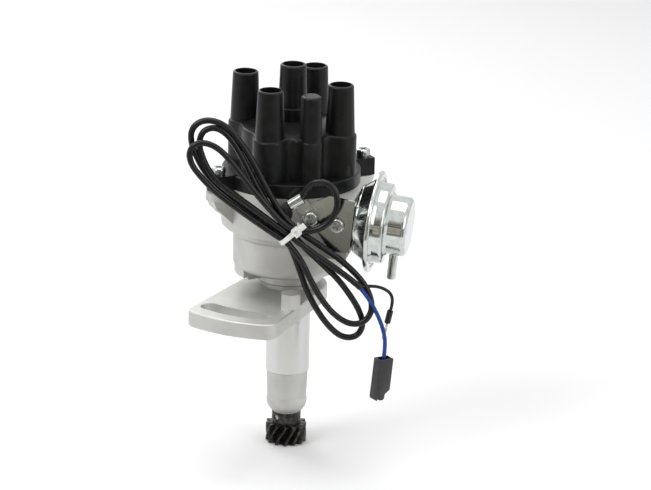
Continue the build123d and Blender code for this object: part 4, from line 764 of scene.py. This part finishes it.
def strap_loop(tie):
    """The strap, closed round the hank, lying flat in x and y."""
    bpy.ops.object.select_all(action="DESELECT")
    bpy.ops.mesh.primitive_cube_add(size=1)
    loop = bpy.context.object
    loop.scale = (tie.loop_width * MM, tie.loop_length * MM, tie.strap_width * MM)
    bpy.ops.object.transform_apply(scale=True)
    # Round the four corners that the strap bends over, then cut the middle out
    bpy.ops.object.mode_set(mode="EDIT")
    bpy.ops.mesh.select_all(action="DESELECT")
    bpy.ops.object.mode_set(mode="OBJECT")
    mesh = loop.data
    for edge in mesh.edges:
        a, b = (mesh.vertices[i].co for i in edge.vertices)
        edge.select = abs(a.z - b.z) > tie.strap_width * MM / 2
    bpy.ops.object.mode_set(mode="EDIT")
    bpy.ops.mesh.select_mode(type="EDGE")
    bpy.ops.mesh.bevel(offset=tie.bend * MM, segments=8)
    pick_faces(lambda centre, normal: abs(normal.z) > 0.9)
    bpy.ops.mesh.inset(thickness=tie.strap_thickness * MM)
    bpy.ops.mesh.bridge_edge_loops()
    bpy.ops.object.mode_set(mode="OBJECT")
    return loop


def softened_block(centre, size, edge):
    """A block in millimetres with its edges rounded, left in edit mode."""
    bpy.ops.object.select_all(action="DESELECT")
    bpy.ops.mesh.primitive_cube_add(size=1, location=Vector(centre) * MM)
    block = bpy.context.object
    block.scale = Vector(size) * MM
    bpy.ops.object.transform_apply(scale=True)
    bpy.ops.object.mode_set(mode="EDIT")
    bpy.ops.mesh.select_all(action="SELECT")
    bpy.ops.mesh.bevel(offset=edge * MM, segments=2)
    return block


HEAD_PROUD = 0.8            # middle of the head outside the loop
HEAD_UP = -5.2              # the head and the tail sit towards the front run's upper end
HEAD_DEPTH, HEAD_LENGTH = 4.2, 4.6
WINDOW_MARGIN = 0.9         # frame round the window that the pawl sits in, and its depth
TAIL_PROUD = 0.6
TAIL_UP = -9.4
TAIL_THICKNESS, TAIL_LENGTH = 1.0, 5.4


class DISTRIBUTOR_OT_cable_tie(bpy.types.Operator):
    """Nylon cable tie round the waist of the hank: strap, ratchet head and cut tail"""
    bl_idname = "distributor.cable_tie"
    bl_label = "Cable tie"

    def execute(self, context):
        tie = context.scene.distributor_tie
        outward = polar(1, HANK_FACING) / MM
        sideways = polar(1, HANK_FACING + 90) / MM
        turn = math.radians(tie.lean)
        down = Vector((0, 0, -1)) * math.cos(turn) - sideways * math.sin(turn)
        axes = Matrix((outward, down, outward.cross(down))).transposed().to_4x4()
        place = Matrix.Translation(hank_point(0, 0, tie.height)) @ axes

        loop = strap_loop(tie)
        front = tie.loop_width / 2
        head = softened_block((front + HEAD_PROUD, HEAD_UP, 0),
                              (HEAD_DEPTH, HEAD_LENGTH, tie.head_width), 0.5)
        pick_faces(lambda centre, normal: normal.x > 0.9)
        bpy.ops.mesh.inset(thickness=WINDOW_MARGIN * MM)
        bpy.ops.mesh.extrude_region_move(TRANSFORM_OT_translate={"value": (-WINDOW_MARGIN * MM, 0, 0)})
        bpy.ops.object.mode_set(mode="OBJECT")
        tail = softened_block((front + TAIL_PROUD, TAIL_UP, 0),
                              (TAIL_THICKNESS, TAIL_LENGTH, tie.strap_width * 1.25), 0.25)
        bpy.ops.object.mode_set(mode="OBJECT")
        only(loop)
        head.select_set(True)
        tail.select_set(True)
        bpy.ops.object.join()
        bpy.ops.object.shade_smooth_by_angle(angle=math.radians(40))
        settle(loop, "cable_tie_strap", place)
        dress(loop, MATERIALS["nylon_tie"], "housing_body", "nylon_tie", "cable_tie")
        return {"FINISHED"}


CONNECTOR_TOP = (68.5, -41.3, -20.0)
CONNECTOR_DOWN = (-0.09, -0.01, -1.0)
CONNECTOR_AZIMUTH = 48.0    # its width lies this way
# Front outline of the connector in millimetres, across and down from its top
CONNECTOR_OUTLINE = (
    (-5.3, 0.0), (5.3, 0.0), (5.3, 20.6), (1.7, 23.3), (1.7, 25.6), (0.8, 27.0), (-1.7, 27.0), (-2.8, 23.4),
    (-3.7, 27.0), (-4.7, 26.7), (-5.3, 25.2),
)


class DISTRIBUTOR_OT_connector(bpy.types.Operator):
    """One-way connector on the blue lead: open top, stepped side and two rounded prongs"""
    bl_idname = "distributor.connector"
    bl_label = "Connector"

    def execute(self, context):
        sizes = context.scene.distributor_connector
        down = Vector(CONNECTOR_DOWN).normalized()
        across = polar(1, CONNECTOR_AZIMUTH) / MM
        across = (across - down * across.dot(down)).normalized()
        axes = Matrix((across, down.cross(across), down)).transposed().to_4x4()
        place = Matrix.Translation(Vector(CONNECTOR_TOP) * MM) @ axes
        bpy.ops.object.select_all(action="DESELECT")
        bpy.ops.mesh.primitive_circle_add(vertices=len(CONNECTOR_OUTLINE), fill_type="NGON")
        housing = context.object
        for vertex, (x, z) in zip(housing.data.vertices, CONNECTOR_OUTLINE):
            vertex.co = Vector((x, -sizes.depth / 2, z)) * MM
        bpy.ops.object.mode_set(mode="EDIT")
        bpy.ops.mesh.select_mode(type="FACE")
        bpy.ops.mesh.select_all(action="SELECT")
        bpy.ops.mesh.extrude_region_move(TRANSFORM_OT_translate={"value": (0, sizes.depth * MM, 0)})
        bpy.ops.mesh.select_all(action="SELECT")
        bpy.ops.mesh.normals_make_consistent(inside=False)
        bpy.ops.mesh.bevel(offset=sizes.edge * MM, segments=2)
        pick_faces(lambda centre, normal: normal.z < -0.99)
        bpy.ops.mesh.inset(thickness=sizes.wall * MM)
        bpy.ops.mesh.extrude_region_move(TRANSFORM_OT_translate={"value": (0, 0, sizes.pocket * MM)})
        bpy.ops.object.mode_set(mode="OBJECT")
        bpy.ops.object.shade_smooth_by_angle(angle=math.radians(30))
        settle(housing, "connector_moulding", place)
        dress(housing, MATERIALS["connector"], "housing_body", "connector", "connector_housing")
        return {"FINISHED"}


class DISTRIBUTOR_OT_leads(bpy.types.Operator):
    """Sleeved pickup lead with its tied hank, and the blue and black leads that leave it"""
    bl_idname = "distributor.leads"
    bl_label = "Leads"

    def execute(self, context):
        sizes = context.scene.distributor_leads
        points = [Vector(p) * MM for p in LOOP_ROUTE] + [hank_point(*p) for p in HANK_ROUTE]
        lead = lead_curve("pickup_lead_line", points, sizes.sleeve_diameter)
        dress(lead, MATERIALS["lead_sleeve"], "housing_body", "lead_sleeve", "pickup_lead", "lead_hank")
        spline_length(lead)
        for name, route, diameter, slot, node, far_end, pieces in (
                ("blue_lead_line", BLUE_ROUTE, sizes.blue_diameter, "blue_wire", "blue_lead",
                 "connector", ["connector_moulding"]),
                ("black_lead_line", BLACK_ROUTE, sizes.black_diameter, "lead_sleeve", "black_lead",
                 "fitting", ["crimp_sleeve", "ring_terminal"])):
            points = [Vector(p) * MM for p in route]
            lead = lead_curve(name, points, diameter)
            dress(lead, MATERIALS[slot], "housing_body", slot, node)
            spline_length(lead)
        return {"FINISHED"}


# ---------------------------------------------------------------- carried-over nodes
class DISTRIBUTOR_OT_finishes(bpy.types.Operator):
    """Gives every node of the frame its finish"""
    bl_idname = "distributor.finishes"
    bl_label = "Finishes"

    def execute(self, context):
        for part in frame["record"]["subparts"]:
            mesh = nodes[part["node"]].data
            mesh.materials.clear()
            mesh.materials.append(MATERIALS[part["material_slot"]])
        return {"FINISHED"}


class DISTRIBUTOR_PT_panel(bpy.types.Panel):
    """Sizes, colours and the piece operators"""
    bl_idname = "DISTRIBUTOR_PT_panel"
    bl_label = "Distributor"
    bl_space_type = "VIEW_3D"
    bl_region_type = "UI"
    bl_category = "Distributor"

    def draw(self, context):
        layout = self.layout
        for group in GROUPS:
            settings = getattr(context.scene, group)
            for name in settings.__annotations__:
                layout.prop(settings, name)
        for operator in OPERATORS:
            layout.operator(operator.bl_idname)


GROUPS = {
    "distributor_camera": CameraSettings,
    "distributor_finish": FinishSettings,
    "distributor_cap": CapSettings,
    "distributor_tie": TieSettings,
    "distributor_connector": ConnectorSettings,
    "distributor_leads": LeadSettings,
}
OPERATORS = (
    DISTRIBUTOR_OT_stage,
    DISTRIBUTOR_OT_cable_tie,
    DISTRIBUTOR_OT_connector,
    DISTRIBUTOR_OT_leads,
    DISTRIBUTOR_OT_finishes,
    DISTRIBUTOR_OT_cap_crown,
)


def register():
    for made in (*GROUPS.values(), *OPERATORS, DISTRIBUTOR_PT_panel):
        bpy.utils.register_class(made)
    for name, group in GROUPS.items():
        setattr(bpy.types.Scene, name, bpy.props.PointerProperty(type=group))


def unregister():
    for name in GROUPS:
        delattr(bpy.types.Scene, name)
    for made in (DISTRIBUTOR_PT_panel, *reversed(OPERATORS), *GROUPS.values()):
        bpy.utils.unregister_class(made)


def main():
    register()
    MATERIALS.update(make_materials())
    for operator in OPERATORS:
        getattr(bpy.ops.distributor, operator.bl_idname.split(".")[1])()


if __name__ == "__main__":
    main()
